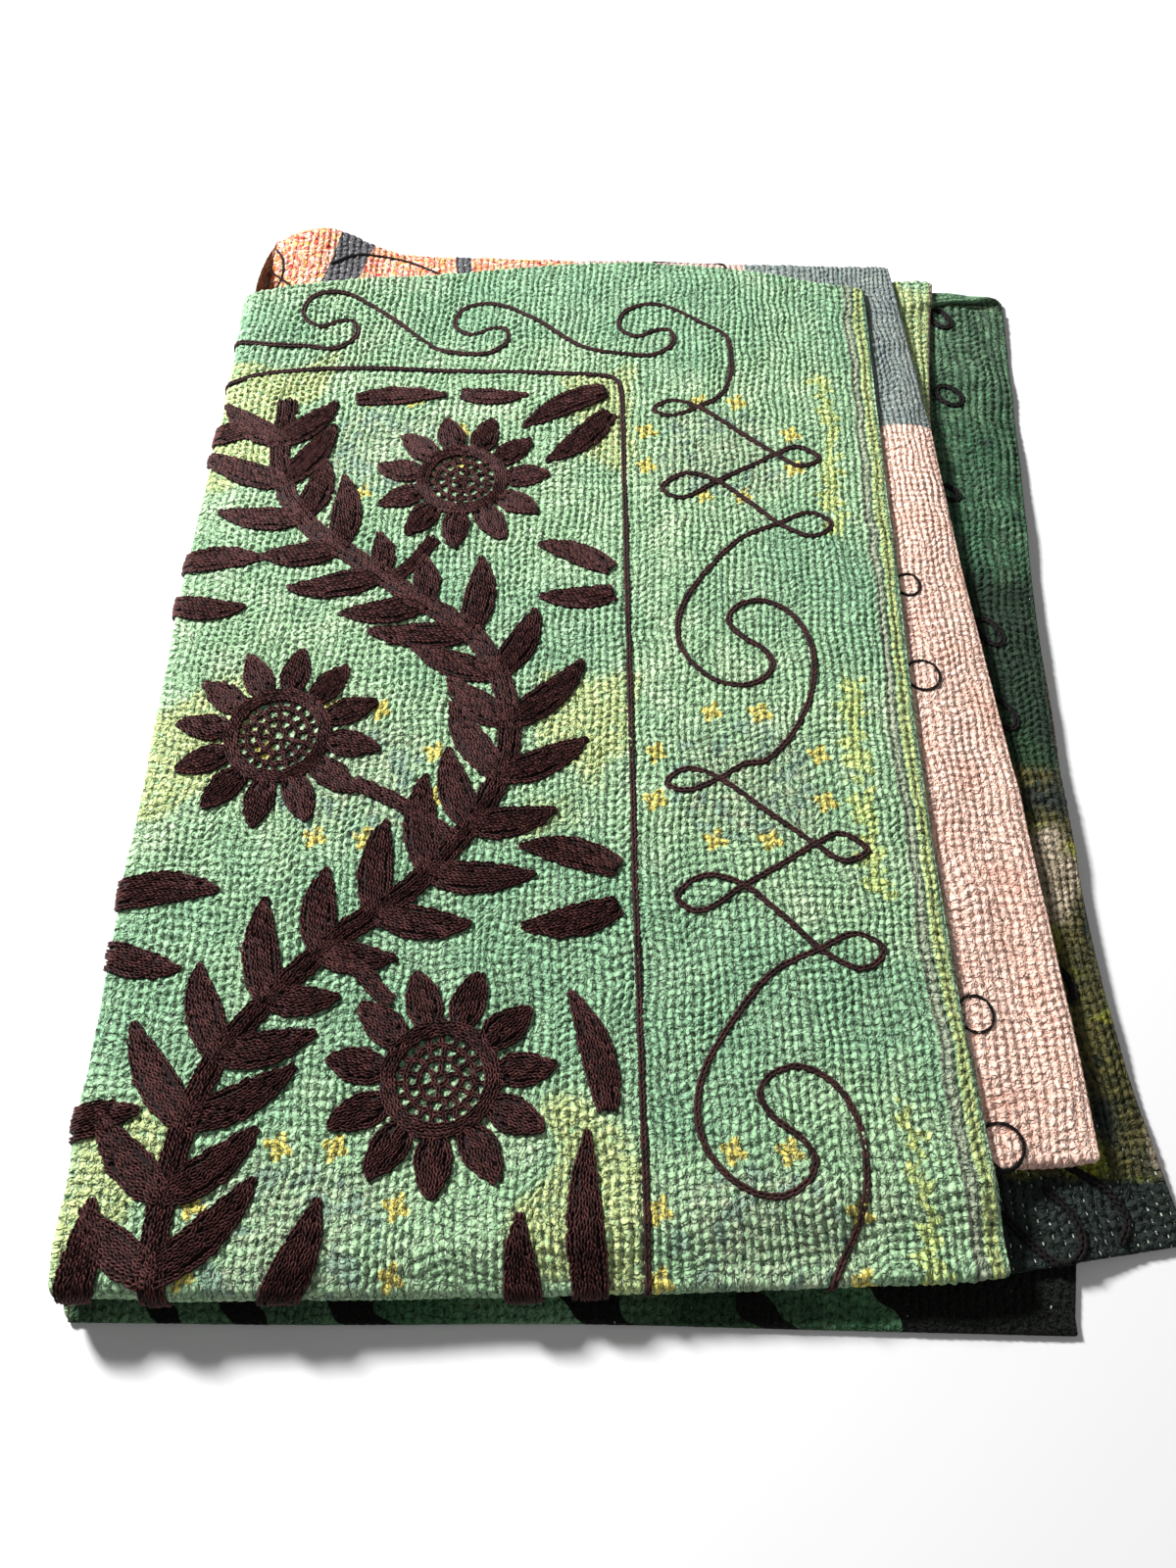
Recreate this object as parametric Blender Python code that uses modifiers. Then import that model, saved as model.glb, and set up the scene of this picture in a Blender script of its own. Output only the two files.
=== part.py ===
"""A kantha quilt, folded in half along its left side and then in three along its length.

The cloth is one sheet: six layers lie over each other, joined by their folds. The sheet starts
as a flat grid, and each of its points is placed by where the folds carry it. Metres, +Z up,
+Y towards the far end, and the origin at the middle of the underside.
"""

import math

import bmesh
import bpy

# Driving dimensions.
CLOTH = 0.0034  # the quilted cloth, from its face to its back
PITCH = 0.0058  # from the middle of one layer to the middle of the next
LENGTH = 0.940  # of one layer, from its near end to its far end
MIDDLE = (0.3563, 0.4795)  # the middle of the folded quilt, seen from its near left corner

# The cells of the grid.
ACROSS_CELLS = 15  # across one layer
ALONG_CELLS = 18  # along one layer
TURN_CELLS = 6  # round one fold

# The face half of the cloth lies outward and the back half inward. Each has three runs: the
# first goes from the far hem to the near fold, the second back to the far fold, and the third
# to the near hem. The side hem's place is given at six stations, from the far end of a layer
# to its near end, and all are distances from the left.
FACE, BACK = 0, 1
SIDE_HEM = {
    # (half, run): (far, then each fifth of the length, near)
    (FACE, 0): (0.580, 0.576, 0.573, 0.570, 0.574, 0.586),
    (BACK, 0): (0.608, 0.622, 0.631, 0.644, 0.651, 0.655),
    (BACK, 1): (0.652, 0.628, 0.618, 0.618, 0.636, 0.655),
    (FACE, 1): (0.600, 0.596, 0.590, 0.582, 0.578, 0.584),
    (FACE, 2): (0.724, 0.709, 0.692, 0.683, 0.685, 0.714),
    (BACK, 2): (0.652, 0.676, 0.691, 0.686, 0.662, 0.626),
}
SWING_FROM, SWING_TO = 0.886, 0.926  # where the hidden run's hem swings out to the far fold

# The ends of the runs, from the left fold to the side hem: the hems themselves, and for a fold
# the outermost line of the cloth's middle.
ENDS = {
    # (half, end): (left, quarter, middle, three quarters, side hem)
    (FACE, "far hem"): (0.866, 0.906, 0.930, 0.928, 0.900),
    (BACK, "far hem"): (0.940, 0.948, 0.944, 0.942, 0.940),
    (FACE, "near fold"): (0.0050, 0.007, 0.010, 0.015, 0.023),
    (BACK, "near fold"): (0.0108, 0.034, 0.055, 0.076, 0.092),
    (FACE, "far fold"): (0.9150, 0.915, 0.915, 0.918, 0.921),
    (BACK, "far fold"): (0.9208, 0.922, 0.924, 0.928, 0.932),
    (FACE, "near hem"): (0.010, 0.012, 0.014, 0.020, 0.046),
    (BACK, "near hem"): (-0.006, -0.006, -0.004, -0.006, -0.008),
}
LEFT_FOLD = {
    # run: (far, then each fifth of the length, near)
    0: (0.0000, -0.005, -0.008, -0.006, -0.004, 0.0000),
    1: (0.0030, 0.001, -0.001, 0.000, 0.001, 0.0000),
    2: (0.0030, 0.002, 0.000, -0.001, 0.000, 0.0020),
}

# The far left corner stands open: the face rises there, and under it the back curls up.
MOUTH_RISE = 0.026
MOUTH_BACK = 0.290  # how far the rise reaches from the far end
MOUTH_ACROSS = 0.36  # the share of the width that rises
CURL_RISE = 0.021
CURL_AT, CURL_WIDE = 0.048, 0.058  # its middle from the left, and its half width
CURL_FROM, CURL_TO = 0.862, 0.962  # its start and its end along the layer
CURL_PAST = 0.024  # how far it stands past the rest of the back's hem

# A layer settles where one below it stops: over this distance, and by this share.
SETTLE_CLEAR = 0.004
SETTLE_RUN = 0.042
SETTLE_SHARE = 0.84

# Soft swells of the whole stack, which grow from the floor up.
SWELLS = (
    # x, y, radius across, radius along, height at the top layer
    (0.300, 0.860, 0.210, 0.130, 0.0050),
    (0.120, 0.520, 0.110, 0.160, 0.0022),
    (0.430, 0.400, 0.120, 0.200, 0.0026),
    (0.270, 0.180, 0.130, 0.120, -0.0020),
    (0.500, 0.700, 0.070, 0.120, -0.0018),
)

TOP = CLOTH / 2 + 5 * PITCH  # the height of the top layer's middle


def smooth(share):
    """0 below 0, 1 above 1, and a soft step between them."""
    share = min(max(share, 0.0), 1.0)
    return share * share * (3 - 2 * share)


def through(values, share):
    """A smooth curve through evenly spaced values, read at a share of its length."""
    spans = len(values) - 1
    at = min(max(share, 0.0), 1.0) * spans
    first = min(int(at), spans - 1)
    part = at - first
    start, end = values[first], values[first + 1]
    before = values[first - 1] if first else 2 * start - end
    after = values[first + 2] if first + 2 <= spans else 2 * end - start
    slope_in, slope_out = (end - before) / 2, (after - start) / 2
    return (
        start * (1 + 2 * part) * (1 - part) ** 2
        + slope_in * part * (1 - part) ** 2
        + end * part * part * (3 - 2 * part)
        + slope_out * part * part * (part - 1)
    )


def side_hem(half, run, y):
    """Where the side hem of a layer lies, from the left, at a distance from the near end."""
    place = through(SIDE_HEM[half, run], 1 - y / LENGTH)
    if (half, run) == (FACE, 1):
        swing = smooth((y - SWING_FROM) / (SWING_TO - SWING_FROM))
        place += swing * (SIDE_HEM[FACE, 2][0] - place)
    return place


def end_of(half, end, share):
    """Where an end lies along the length, at a share of the way to the side hem."""
    return through(ENDS[half, end], share)


# From the floor up: the layers, and the ends between which each lies.
LAYERS = (
    (BACK, 2, "near hem", "far fold"),
    (FACE, 2, "near hem", "far fold"),
    (FACE, 1, "near fold", "far fold"),
    (BACK, 1, "near fold", "far fold"),
    (BACK, 0, "near fold", "far hem"),
    (FACE, 0, "near fold", "far hem"),
)
LEVEL = {(half, run): level for level, (half, run, _, _) in enumerate(LAYERS)}


def cover(level, x, y):
    """1 where a layer lies, easing to 0 past its side hem and its near end."""
    half, run, near, _ = LAYERS[level]
    hem = side_hem(half, run, y)
    near_end = end_of(half, near, x / hem)
    past = max(x - hem, near_end - y, 0.0) - SETTLE_CLEAR
    return 1 - SETTLE_SHARE * smooth(past / SETTLE_RUN)


def swell(x, y):
    """The height of the swells at the top layer."""
    total = 0.0
    for at_x, at_y, wide, long, height in SWELLS:
        total += height * math.exp(-(((x - at_x) / wide) ** 2) - ((y - at_y) / long) ** 2)
    return total


def curl(x):
    """The curled hem's outline from the left, from 0 to 1."""
    return math.exp(-(((x - CURL_AT) / CURL_WIDE) ** 2))


def mouth(half, run, share, x, y):
    """How far the open corner lifts a layer."""
    if run != 0:
        return 0.0
    if half == BACK:
        return CURL_RISE * curl(x) * smooth((y - CURL_FROM) / (CURL_TO - CURL_FROM))
    along = smooth(1 - (LENGTH - y) / MOUTH_BACK)
    return MOUTH_RISE * along**1.5 * (1 - smooth(share / MOUTH_ACROSS))


def height(half, run, share, x, y):
    """The height of a layer's middle: what lies under it, its swells and its open corner."""
    level = LEVEL[half, run]
    z = CLOTH / 2 + PITCH * sum(cover(below, x, y) for below in range(level))
    z += swell(x, y) * max(z - CLOTH / 2, 0.0) / TOP
    return z + mouth(half, run, share, x, y)


def left_of(run, y):
    """Where the flat of a layer starts, one turn's radius from the left fold."""
    open_by = mouth(FACE, run, 0.0, 0.0, y) / 2
    return through(LEFT_FOLD[run], 1 - y / LENGTH) + PITCH / 2 + open_by


def across_of(half, run, share, y):
    """A share of the way from the left fold to the side hem."""
    left = left_of(run, y)
    return left + share * (side_hem(half, run, y) - left)


def fold_radius(half, run, share, y):
    """The radius of the fold after a run, from the heights of the two layers that it joins."""
    x = share * side_hem(half, run, y)
    top = height(half, run, share, x, y)
    return (top - height(half, run + 1, share, x, y)) / 2


def end_line(half, run, share, which):
    """Where a run starts (0) or ends (1): at a hem, or at the centre of its fold."""
    names = (("far hem", "near fold"), ("near fold", "far fold"), ("far fold", "near hem"))
    end = names[run][which]
    y = end_of(half, end, share)
    if (half, end) == (BACK, "far hem"):
        return y + CURL_PAST * curl(share * SIDE_HEM[BACK, 0][0])
    if end == "near fold":
        return y + fold_radius(half, 0, share, y)
    if end == "far fold":
        return y - fold_radius(half, 1, share, y)
    return y


def on_half(half, share, leg, part):
    """A point of one half. leg is the run, or the fold after it when it ends in a half."""
    if leg in (0, 1, 2):
        first = end_line(half, leg, share, 0)
        last = end_line(half, leg, share, 1)
        y = first + part * (last - first)
        x = across_of(half, leg, share, y)
        return x, y, height(half, leg, share, x, y)
    run = int(leg)  # the fold joins this run to the next one
    centre = end_line(half, run, share, 1)
    x_first = across_of(half, run, share, centre)
    x_last = across_of(half, run + 1, share, centre)
    z_first = height(half, run, share, x_first, centre)
    z_last = height(half, run + 1, share, x_last, centre)
    radius = (z_first - z_last) / 2
    outward = -1 if run == 0 else 1
    turn = math.pi * part
    x = x_first + (x_last - x_first) * (1 - math.cos(turn)) / 2
    y = centre + outward * radius * math.sin(turn)
    return x, y, (z_first + z_last) / 2 + radius * math.cos(turn)


def round_left(turn, leg, part):
    """A point of the left fold, between the face (turn 0) and the back (turn pi)."""
    face, back = on_half(FACE, 0.0, leg, part), on_half(BACK, 0.0, leg, part)
    mix = (1 - math.cos(turn)) / 2
    x, y, z = (f + mix * (b - f) for f, b in zip(face, back))
    radius = abs(face[2] - back[2]) / 2 if leg in (0, 1, 2) else PITCH / 2
    return x - radius * math.sin(turn), y, z


def legs():
    """The rows of the grid, as (leg, part), from the far hem of the top to the near hem."""
    rows = []
    for run in range(3):
        for cell in range(ALONG_CELLS + 1):
            even = cell / ALONG_CELLS
            rows.append((run, 0.55 * even + 0.45 * (1 - math.cos(math.pi * even)) / 2))
        if run < 2:
            rows += [(run + 0.5, cell / TURN_CELLS) for cell in range(1, TURN_CELLS)]
    return rows


def columns():
    """The columns of the grid: (half, share) on a half, or (None, turn) round the left fold."""
    shares = []
    for cell in range(ACROSS_CELLS + 1):
        even = cell / ACROSS_CELLS
        shares.append(0.6 * even + 0.4 * (1 - math.cos(math.pi * even)) / 2)
    turns = [(None, math.pi * cell / TURN_CELLS) for cell in range(1, TURN_CELLS)]
    return [(FACE, s) for s in reversed(shares)] + turns + [(BACK, s) for s in shares]


def folded_sheet():
    """The middle of the cloth, as one grid."""
    rows, across = legs(), columns()
    mesh = bpy.data.meshes.new("quilt")
    grid = bmesh.new()
    bmesh.ops.create_grid(
        grid, x_segments=len(across) - 1, y_segments=len(rows) - 1, size=0.5
    )
    for point in grid.verts:
        half, share = across[round((point.co.x + 0.5) * (len(across) - 1))]
        leg, part = rows[round((point.co.y + 0.5) * (len(rows) - 1))]
        if half is None:
            place = round_left(share, leg, part)
        else:
            place = on_half(half, share, leg, part)
        point.co = (place[0] - MIDDLE[0], place[1] - MIDDLE[1], place[2])
    grid.to_mesh(mesh)
    grid.free()
    return mesh


def cotton(name, colour):
    material = bpy.data.materials.new(name)
    material.use_nodes = True
    shader = material.node_tree.nodes["Principled BSDF"]
    shader.inputs["Base Color"].default_value = (*colour, 1.0)
    shader.inputs["Roughness"].default_value = 0.9
    shader.inputs["Metallic"].default_value = 0.0
    return material


def make_quilt(collection):
    """The one piece: the folded sheet, with its thickness to both sides."""
    quilt = bpy.data.objects.new("quilt", folded_sheet())
    collection.objects.link(quilt)
    thickness = quilt.modifiers.new("cloth", "SOLIDIFY")
    thickness.thickness = CLOTH
    thickness.offset = 0.0
    thickness.use_even_offset = True
    quilt.data.materials.append(cotton("mint_cotton", (0.30, 0.55, 0.38)))
    quilt.data.shade_smooth()
    return quilt


def main():
    for old in list(bpy.data.objects):
        bpy.data.objects.remove(old)
    collection = bpy.data.collections.new("kantha_quilt")
    bpy.context.scene.collection.children.link(collection)
    make_quilt(collection)


main()
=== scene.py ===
"""The looks of a folded kantha quilt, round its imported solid.

Lengths are metres. Places on the quilt are measured from the near left corner of the stack:
u runs across from the left folds, v runs along from the near fold, and CORNER takes them to
the frame. A layer is a (half, run) of the one sheet, as in the solid, and its upper side is
drawn. Past an edge, u and v go on round the fold or the hem.
"""

import math

import bpy
import numpy as np
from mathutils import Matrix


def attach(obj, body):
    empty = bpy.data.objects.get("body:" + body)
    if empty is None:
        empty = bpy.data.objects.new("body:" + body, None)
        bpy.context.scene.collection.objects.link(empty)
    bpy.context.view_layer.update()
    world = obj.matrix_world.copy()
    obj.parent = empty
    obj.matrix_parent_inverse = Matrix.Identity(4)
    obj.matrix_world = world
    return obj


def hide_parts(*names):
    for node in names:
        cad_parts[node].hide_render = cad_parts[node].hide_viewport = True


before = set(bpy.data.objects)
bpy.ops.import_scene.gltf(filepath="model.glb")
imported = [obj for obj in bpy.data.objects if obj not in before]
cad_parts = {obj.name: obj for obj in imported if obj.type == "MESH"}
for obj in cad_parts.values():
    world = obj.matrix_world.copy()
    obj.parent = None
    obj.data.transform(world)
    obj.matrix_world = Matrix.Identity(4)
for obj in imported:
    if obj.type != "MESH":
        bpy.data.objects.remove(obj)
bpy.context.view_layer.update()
rng = np.random.default_rng(7)

# ---- the folded sheet's own sizes
CLOTH = 0.0034
PITCH = 0.0058
LENGTH = 0.940
CORNER = np.array([-0.3563, -0.4795, 0.0])
FACE, BACK = 0, 1
SIDE_HEM = {
    # (half, run): (far, then each fifth of the length, near)
    (FACE, 0): (0.580, 0.576, 0.573, 0.570, 0.574, 0.586),
    (BACK, 0): (0.608, 0.622, 0.631, 0.644, 0.651, 0.655),
    (BACK, 1): (0.652, 0.628, 0.618, 0.618, 0.636, 0.655),
    (FACE, 1): (0.600, 0.596, 0.590, 0.582, 0.578, 0.584),
    (FACE, 2): (0.724, 0.709, 0.692, 0.683, 0.685, 0.714),
    (BACK, 2): (0.652, 0.676, 0.691, 0.686, 0.662, 0.626),
}
SWING_FROM, SWING_TO = 0.886, 0.926
ENDS = {
    # (half, end): (left, quarter, middle, three quarters, side hem)
    (FACE, "far hem"): (0.866, 0.906, 0.930, 0.928, 0.900),
    (BACK, "far hem"): (0.940, 0.948, 0.944, 0.942, 0.940),
    (FACE, "near fold"): (0.0050, 0.007, 0.010, 0.015, 0.023),
    (BACK, "near fold"): (0.0108, 0.034, 0.055, 0.076, 0.092),
    (FACE, "far fold"): (0.9150, 0.915, 0.915, 0.918, 0.921),
    (BACK, "far fold"): (0.9208, 0.922, 0.924, 0.928, 0.932),
    (FACE, "near hem"): (0.010, 0.012, 0.014, 0.020, 0.046),
    (BACK, "near hem"): (-0.006, -0.006, -0.004, -0.006, -0.008),
}
LEFT_FOLD = {
    # run: (far, then each fifth of the length, near)
    0: (0.0000, -0.005, -0.008, -0.006, -0.004, 0.0000),
    1: (0.0030, 0.001, -0.001, 0.000, 0.001, 0.0000),
    2: (0.0030, 0.002, 0.000, -0.001, 0.000, 0.0020),
}
MOUTH_RISE, MOUTH_BACK, MOUTH_ACROSS = 0.026, 0.290, 0.36
CURL_RISE, CURL_AT, CURL_WIDE = 0.021, 0.048, 0.058
CURL_FROM, CURL_TO, CURL_PAST = 0.862, 0.962, 0.024
SETTLE_CLEAR, SETTLE_RUN, SETTLE_SHARE = 0.004, 0.042, 0.84
SWELLS = (
    # u, v, radius across, radius along, height at the top layer
    (0.300, 0.860, 0.210, 0.130, 0.0050),
    (0.120, 0.520, 0.110, 0.160, 0.0022),
    (0.430, 0.400, 0.120, 0.200, 0.0026),
    (0.270, 0.180, 0.130, 0.120, -0.0020),
    (0.500, 0.700, 0.070, 0.120, -0.0018),
)
TOP = CLOTH / 2 + 5 * PITCH
LAYERS = ((BACK, 2), (FACE, 2), (FACE, 1), (BACK, 1), (BACK, 0), (FACE, 0))  # floor up
RUN_ENDS = (("far hem", "near fold"), ("near fold", "far fold"), ("far fold", "near hem"))

# ---- stitching
ROW = 0.0060  # between two rows of running stitch
STITCH = 0.0068  # from one stitch to the next
CELLS_A_ROW = 4  # the columns of cells from one row to the next
CELL_ALONG = 0.0022
DRIFTS = ((0.020, 2.6), (0.009, 1.1))  # lump size, and how many stitches a row runs ahead
DRIFT_STRETCH = 0.30
PUFF_ROW, PUFF_CROSS, PUFF_BOTH = 0.38, 0.44, 0.18  # the puffs' share between rows, and along them
RELIEF = 0.0031  # from a stitch to the crest beside it
WAVE_RISE, WAVE_LONG = 0.0022, 0.036  # the soft waves of the cloth, under the puckers
ROW_WANDER = ((0.045, 0.0044), (0.020, 0.0034), (0.011, 0.0014))  # lump size, and how far
HEM_EDGE = 0.0025  # the radius that a hem turns on
HEM_CALM = 0.9  # how much of the relief is gone under a hem
SLOPE_STEP = 0.0004  # the step that a layer's slope is measured over
LEFT_ROUND = math.pi * 0.0036 + 0.006  # how far the top's cloth goes on round the left fold


def smooth(share):
    """0 below 0, 1 above 1, and a soft step between them."""
    share = np.clip(share, 0.0, 1.0)
    return share * share * (3 - 2 * share)


def through(values, share):
    """A smooth curve through evenly spaced values, read at a share of its length."""
    values = np.asarray(values, float)
    spans = len(values) - 1
    at = np.clip(share, 0.0, 1.0) * spans
    first = np.minimum(at.astype(int), spans - 1) if isinstance(at, np.ndarray) else min(int(at), spans - 1)
    part = at - first
    padded = np.concatenate(([2 * values[0] - values[1]], values, [2 * values[-1] - values[-2]]))
    before, start, end, after = padded[first], padded[first + 1], padded[first + 2], padded[first + 3]
    slope_in, slope_out = (end - before) / 2, (after - start) / 2
    return (
        start * (1 + 2 * part) * (1 - part) ** 2
        + slope_in * part * (1 - part) ** 2
        + end * part * part * (3 - 2 * part)
        + slope_out * part * part * (part - 1)
    )


# ---- where the folds carry the cloth
def side_hem(layer, y):
    """Where a layer's side hem is. Past the layer's ends it stays as it is at them."""
    place = through(SIDE_HEM[layer], 1 - y / LENGTH)
    if layer == (FACE, 1):
        swing = smooth((y - SWING_FROM) / (SWING_TO - SWING_FROM))
        place = place + swing * (SIDE_HEM[FACE, 2][0] - place)
    return place


def cover(layer, x, y):
    """How much a layer lifts the ones above it: 1 where it lies, and little well past its hems."""
    half, run = layer
    hem = side_hem(layer, y)
    near_name = "near hem" if run == 2 else "near fold"
    near_end = through(ENDS[half, near_name], x / hem)
    past = np.maximum(np.maximum(x - hem, near_end - y), 0.0) - SETTLE_CLEAR
    return 1 - SETTLE_SHARE * smooth(past / SETTLE_RUN)


def swell(x, y):
    return sum(
        high * np.exp(-(((x - at_x) / wide) ** 2) - ((y - at_y) / long) ** 2)
        for at_x, at_y, wide, long, high in SWELLS
    )


def curl(x):
    return np.exp(-(((x - CURL_AT) / CURL_WIDE) ** 2))


def mouth(layer, share, x, y):
    """How far the open far left corner lifts the top layer and curls the one below it."""
    if layer == (BACK, 0):
        return CURL_RISE * curl(x) * smooth((y - CURL_FROM) / (CURL_TO - CURL_FROM))
    if layer == (FACE, 0):
        along = smooth(1 - (LENGTH - y) / MOUTH_BACK)
        return MOUTH_RISE * along**1.5 * (1 - smooth(share / MOUTH_ACROSS))
    return 0.0 * x


def height(layer, share, x, y):
    """The height of the middle of a layer's cloth."""
    z = CLOTH / 2 + sum(PITCH * cover(below, x, y) for below in LAYERS[: LAYERS.index(layer)])
    z = z + swell(x, y) * np.maximum(z - CLOTH / 2, 0.0) / TOP
    return z + mouth(layer, share, x, y)


def left_of(run, y):
    open_by = mouth((FACE, run), 0.0 * y, 0.0 * y, y) / 2
    return through(LEFT_FOLD[run], 1 - y / LENGTH) + PITCH / 2 + open_by


def across_of(layer, share, y):
    left = left_of(layer[1], y)
    return left + share * (side_hem(layer, y) - left)


def fold_radius(half, run, share, y):
    x = share * side_hem((half, run), y)
    return (height((half, run), share, x, y) - height((half, run + 1), share, x, y)) / 2


def end_line(layer, share, which):
    """Where a run starts (0) or ends (1): at a hem, or at the centre of its fold."""
    half, run = layer
    end = RUN_ENDS[run][which]
    y = through(ENDS[half, end], share)
    if (half, end) == (BACK, "far hem"):
        return y + CURL_PAST * curl(share * SIDE_HEM[BACK, 0][0])
    if end == "near fold":
        return y + fold_radius(half, 0, share, y)
    if end == "far fold":
        return y - fold_radius(half, 1, share, y)
    return y


def on_run(layer, share, y, turn, past):
    """A point of a run, or of the fold at its end: turn goes round it, and past beyond it."""
    half, run = layer
    x = across_of(layer, share, y)
    z = height(layer, share, x, y)
    if run == 2:
        return np.stack([x, y, z], -1)
    centre = end_line(layer, share, 1)
    outward = -1 if run == 0 else 1
    x_next = across_of((half, run + 1), share, centre)
    z_next = height((half, run + 1), share, x_next, centre)
    mix = (1 - np.cos(turn)) / 2
    radius = (z - z_next) / 2
    y = y + outward * (radius * np.sin(turn) - past)
    return np.stack([x + (x_next - x) * mix, y, z + (z_next - z) * mix], -1)


def round_end(layer, share, v):
    """For a distance along a run: the flat's y, the turn round the run's fold, and the rest."""
    half, run = layer
    if run == 2:
        return v, 0.0 * v, 0.0 * v
    centre = end_line(layer, share, 1)
    radius = fold_radius(half, run, share, centre)
    if run == 0:
        y, beyond = np.maximum(v, centre), np.maximum(centre - v, 0.0)
    else:
        y, beyond = np.minimum(v, centre), np.maximum(v - centre, 0.0)
    return y, np.minimum(beyond / radius, math.pi), np.maximum(beyond - math.pi * radius, 0.0)


def share_of(layer, u, v):
    """The share of a layer's width that lies to the left of a place."""
    left = left_of(layer[1], v)
    return np.clip((u - left) / (side_hem(layer, v) - left), 0.0, 1.0)


def middle(layer, u, v):
    """The middle of the cloth, on a layer and round its fold, and round the top's left fold."""
    share = share_of(layer, u, v)
    y, turn, past = round_end(layer, share, v)
    point = on_run(layer, share, y, turn, past)
    if layer != (FACE, 0):
        return point
    below = (BACK, 0)
    none = 0.0 * share
    start, centre = end_line(below, none, 0), end_line(below, none, 1)
    other = on_run(below, none, np.clip(y, centre, start), turn, past)
    over = np.maximum(left_of(0, y) - u, 0.0)
    drop = np.abs(point[..., 2] - other[..., 2]) / 2
    radius = np.where(turn > 0, PITCH / 2, drop)
    swing = np.minimum(over / radius, math.pi)
    point = point + ((1 - np.cos(swing)) / 2)[..., None] * (other - point)
    point[..., 0] += np.maximum(over - math.pi * radius, 0.0) - radius * np.sin(swing)
    return point


def wave_of(layer, u, v):
    """The soft waves of a layer. The one on the floor has none."""
    return 0.0 * u if layer == LAYERS[0] else WAVE_RISE * (noise(u, v, WAVE_LONG, 3) - 0.5)


def surface(layer, u, v, lift):
    """Points of the frame on a layer, lift above its middle. Past a hem they go round it."""
    u, v, lift = np.broadcast_arrays(u, v, lift)
    lift = lift + wave_of(layer, u, v)
    run = layer[1]
    share = share_of(layer, u, v)
    v_in = v
    if run == 0:
        v_in = np.minimum(v, end_line(layer, share, 0))
    if run == 2:
        v_in = np.maximum(v, end_line(layer, share, 1))
    u_in = np.minimum(u, side_hem(layer, v_in))
    point = middle(layer, u_in, v_in)
    # Only the top's cloth goes on round its left fold. Below it the slope is measured inside.
    u_slope = u_in if layer == (FACE, 0) else np.maximum(u_in, left_of(run, v_in) + SLOPE_STEP)
    to_right = middle(layer, u_slope, v_in) - middle(layer, u_slope - SLOPE_STEP, v_in)
    to_far = point - middle(layer, u_in, v_in - SLOPE_STEP)
    up = np.cross(to_right, to_far)
    to_right, to_far, up = (d / np.linalg.norm(d, axis=-1, keepdims=True) for d in (to_right, to_far, up))
    over = (u - u_in)[..., None] * to_right + (v - v_in)[..., None] * to_far
    far = np.linalg.norm(over, axis=-1, keepdims=True)
    over = over / np.maximum(far, 1e-9)
    turn = np.minimum(far / HEM_EDGE, math.pi)
    lift = CLOTH / 2 + (lift - CLOTH / 2) * (1 - HEM_CALM * smooth(turn[..., 0] / 2.0))
    lean = over * np.sin(turn) + up * np.cos(turn)
    return CORNER + point + lift[..., None] * lean - over * np.maximum(far - math.pi * HEM_EDGE, 0.0)


# ---- soft unevenness
NOISE_TABLE = 64  # the lumps before noise repeats


def between_cells(table, row, col, row_part, col_part):
    """A table's value between four cells. Past its end it starts again."""
    rows, cols = table.shape
    row, next_row, col, next_col = row % rows, (row + 1) % rows, col % cols, (col + 1) % cols
    near = table[row, col] * (1 - col_part) + table[row, next_col] * col_part
    far = table[next_row, col] * (1 - col_part) + table[next_row, next_col] * col_part
    return near * (1 - row_part) + far * row_part


def noise(u, v, size, seed):
    """Smooth noise from 0 to 1, with lumps of about the given size."""
    table = np.random.default_rng(seed).random((NOISE_TABLE, NOISE_TABLE))
    u, v = np.asarray(u) / size, np.asarray(v) / size
    col, row = np.floor(u).astype(int), np.floor(v).astype(int)
    return between_cells(table, row, col, smooth(v - row), smooth(u - col))


def puff_of(count):
    """A crease at each whole number, with round puffs between. The materials repeat it."""
    away = 2 * np.abs(count - np.round(count))
    return away * (2 - away)


def pucker(rows, v, drift, seed):
    """The relief of running stitch, from 0 in the pit of a stitch to about 1 on a crest."""
    between, along = puff_of(rows), puff_of(v / STITCH + drift)
    lean = 0.55 + 0.90 * noise(rows * ROW, v, 0.022, seed + 1)
    free = noise(rows * ROW * 1.3, v, 0.006, seed)
    strength = 0.70 + 0.55 * noise(rows * ROW, v, 0.030, seed + 2)
    puffs = PUFF_ROW * between * (2 - lean) + PUFF_CROSS * along * lean + PUFF_BOTH * between * along
    return (0.90 * puffs + 0.30 * free) * strength


# ---- meshes
def mesh_object(name, points, quads, material, attributes=()):
    """An object from a grid of points or a list of them, quads of their numbers, and values."""
    points = points.reshape(-1, 3)
    used, quads = np.unique(quads, return_inverse=True)
    quads = quads.reshape(-1, 4)
    mesh = bpy.data.meshes.new(name)
    mesh.vertices.add(len(used))
    mesh.vertices.foreach_set("co", points[used].ravel().astype(np.float32))
    mesh.loops.add(quads.size)
    mesh.loops.foreach_set("vertex_index", quads.ravel().astype(np.int32))
    mesh.polygons.add(len(quads))
    mesh.polygons.foreach_set("loop_start", np.arange(0, quads.size, 4, dtype=np.int32))
    mesh.update(calc_edges=True)
    for label, values in dict(attributes).items():
        values = values.ravel()[used].astype(np.float32)
        mesh.attributes.new(label, "FLOAT", "POINT").data.foreach_set("value", values)
    mesh.shade_smooth()
    mesh.materials.append(material)
    piece = bpy.data.objects.new(name, mesh)
    bpy.context.scene.collection.objects.link(piece)
    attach(piece, "root")
    return piece


def grid_quads(rows, columns):
    corner = np.arange(rows * columns).reshape(rows, columns)[:-1, :-1]
    return np.stack([corner, corner + 1, corner + columns + 1, corner + columns], -1)


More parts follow.
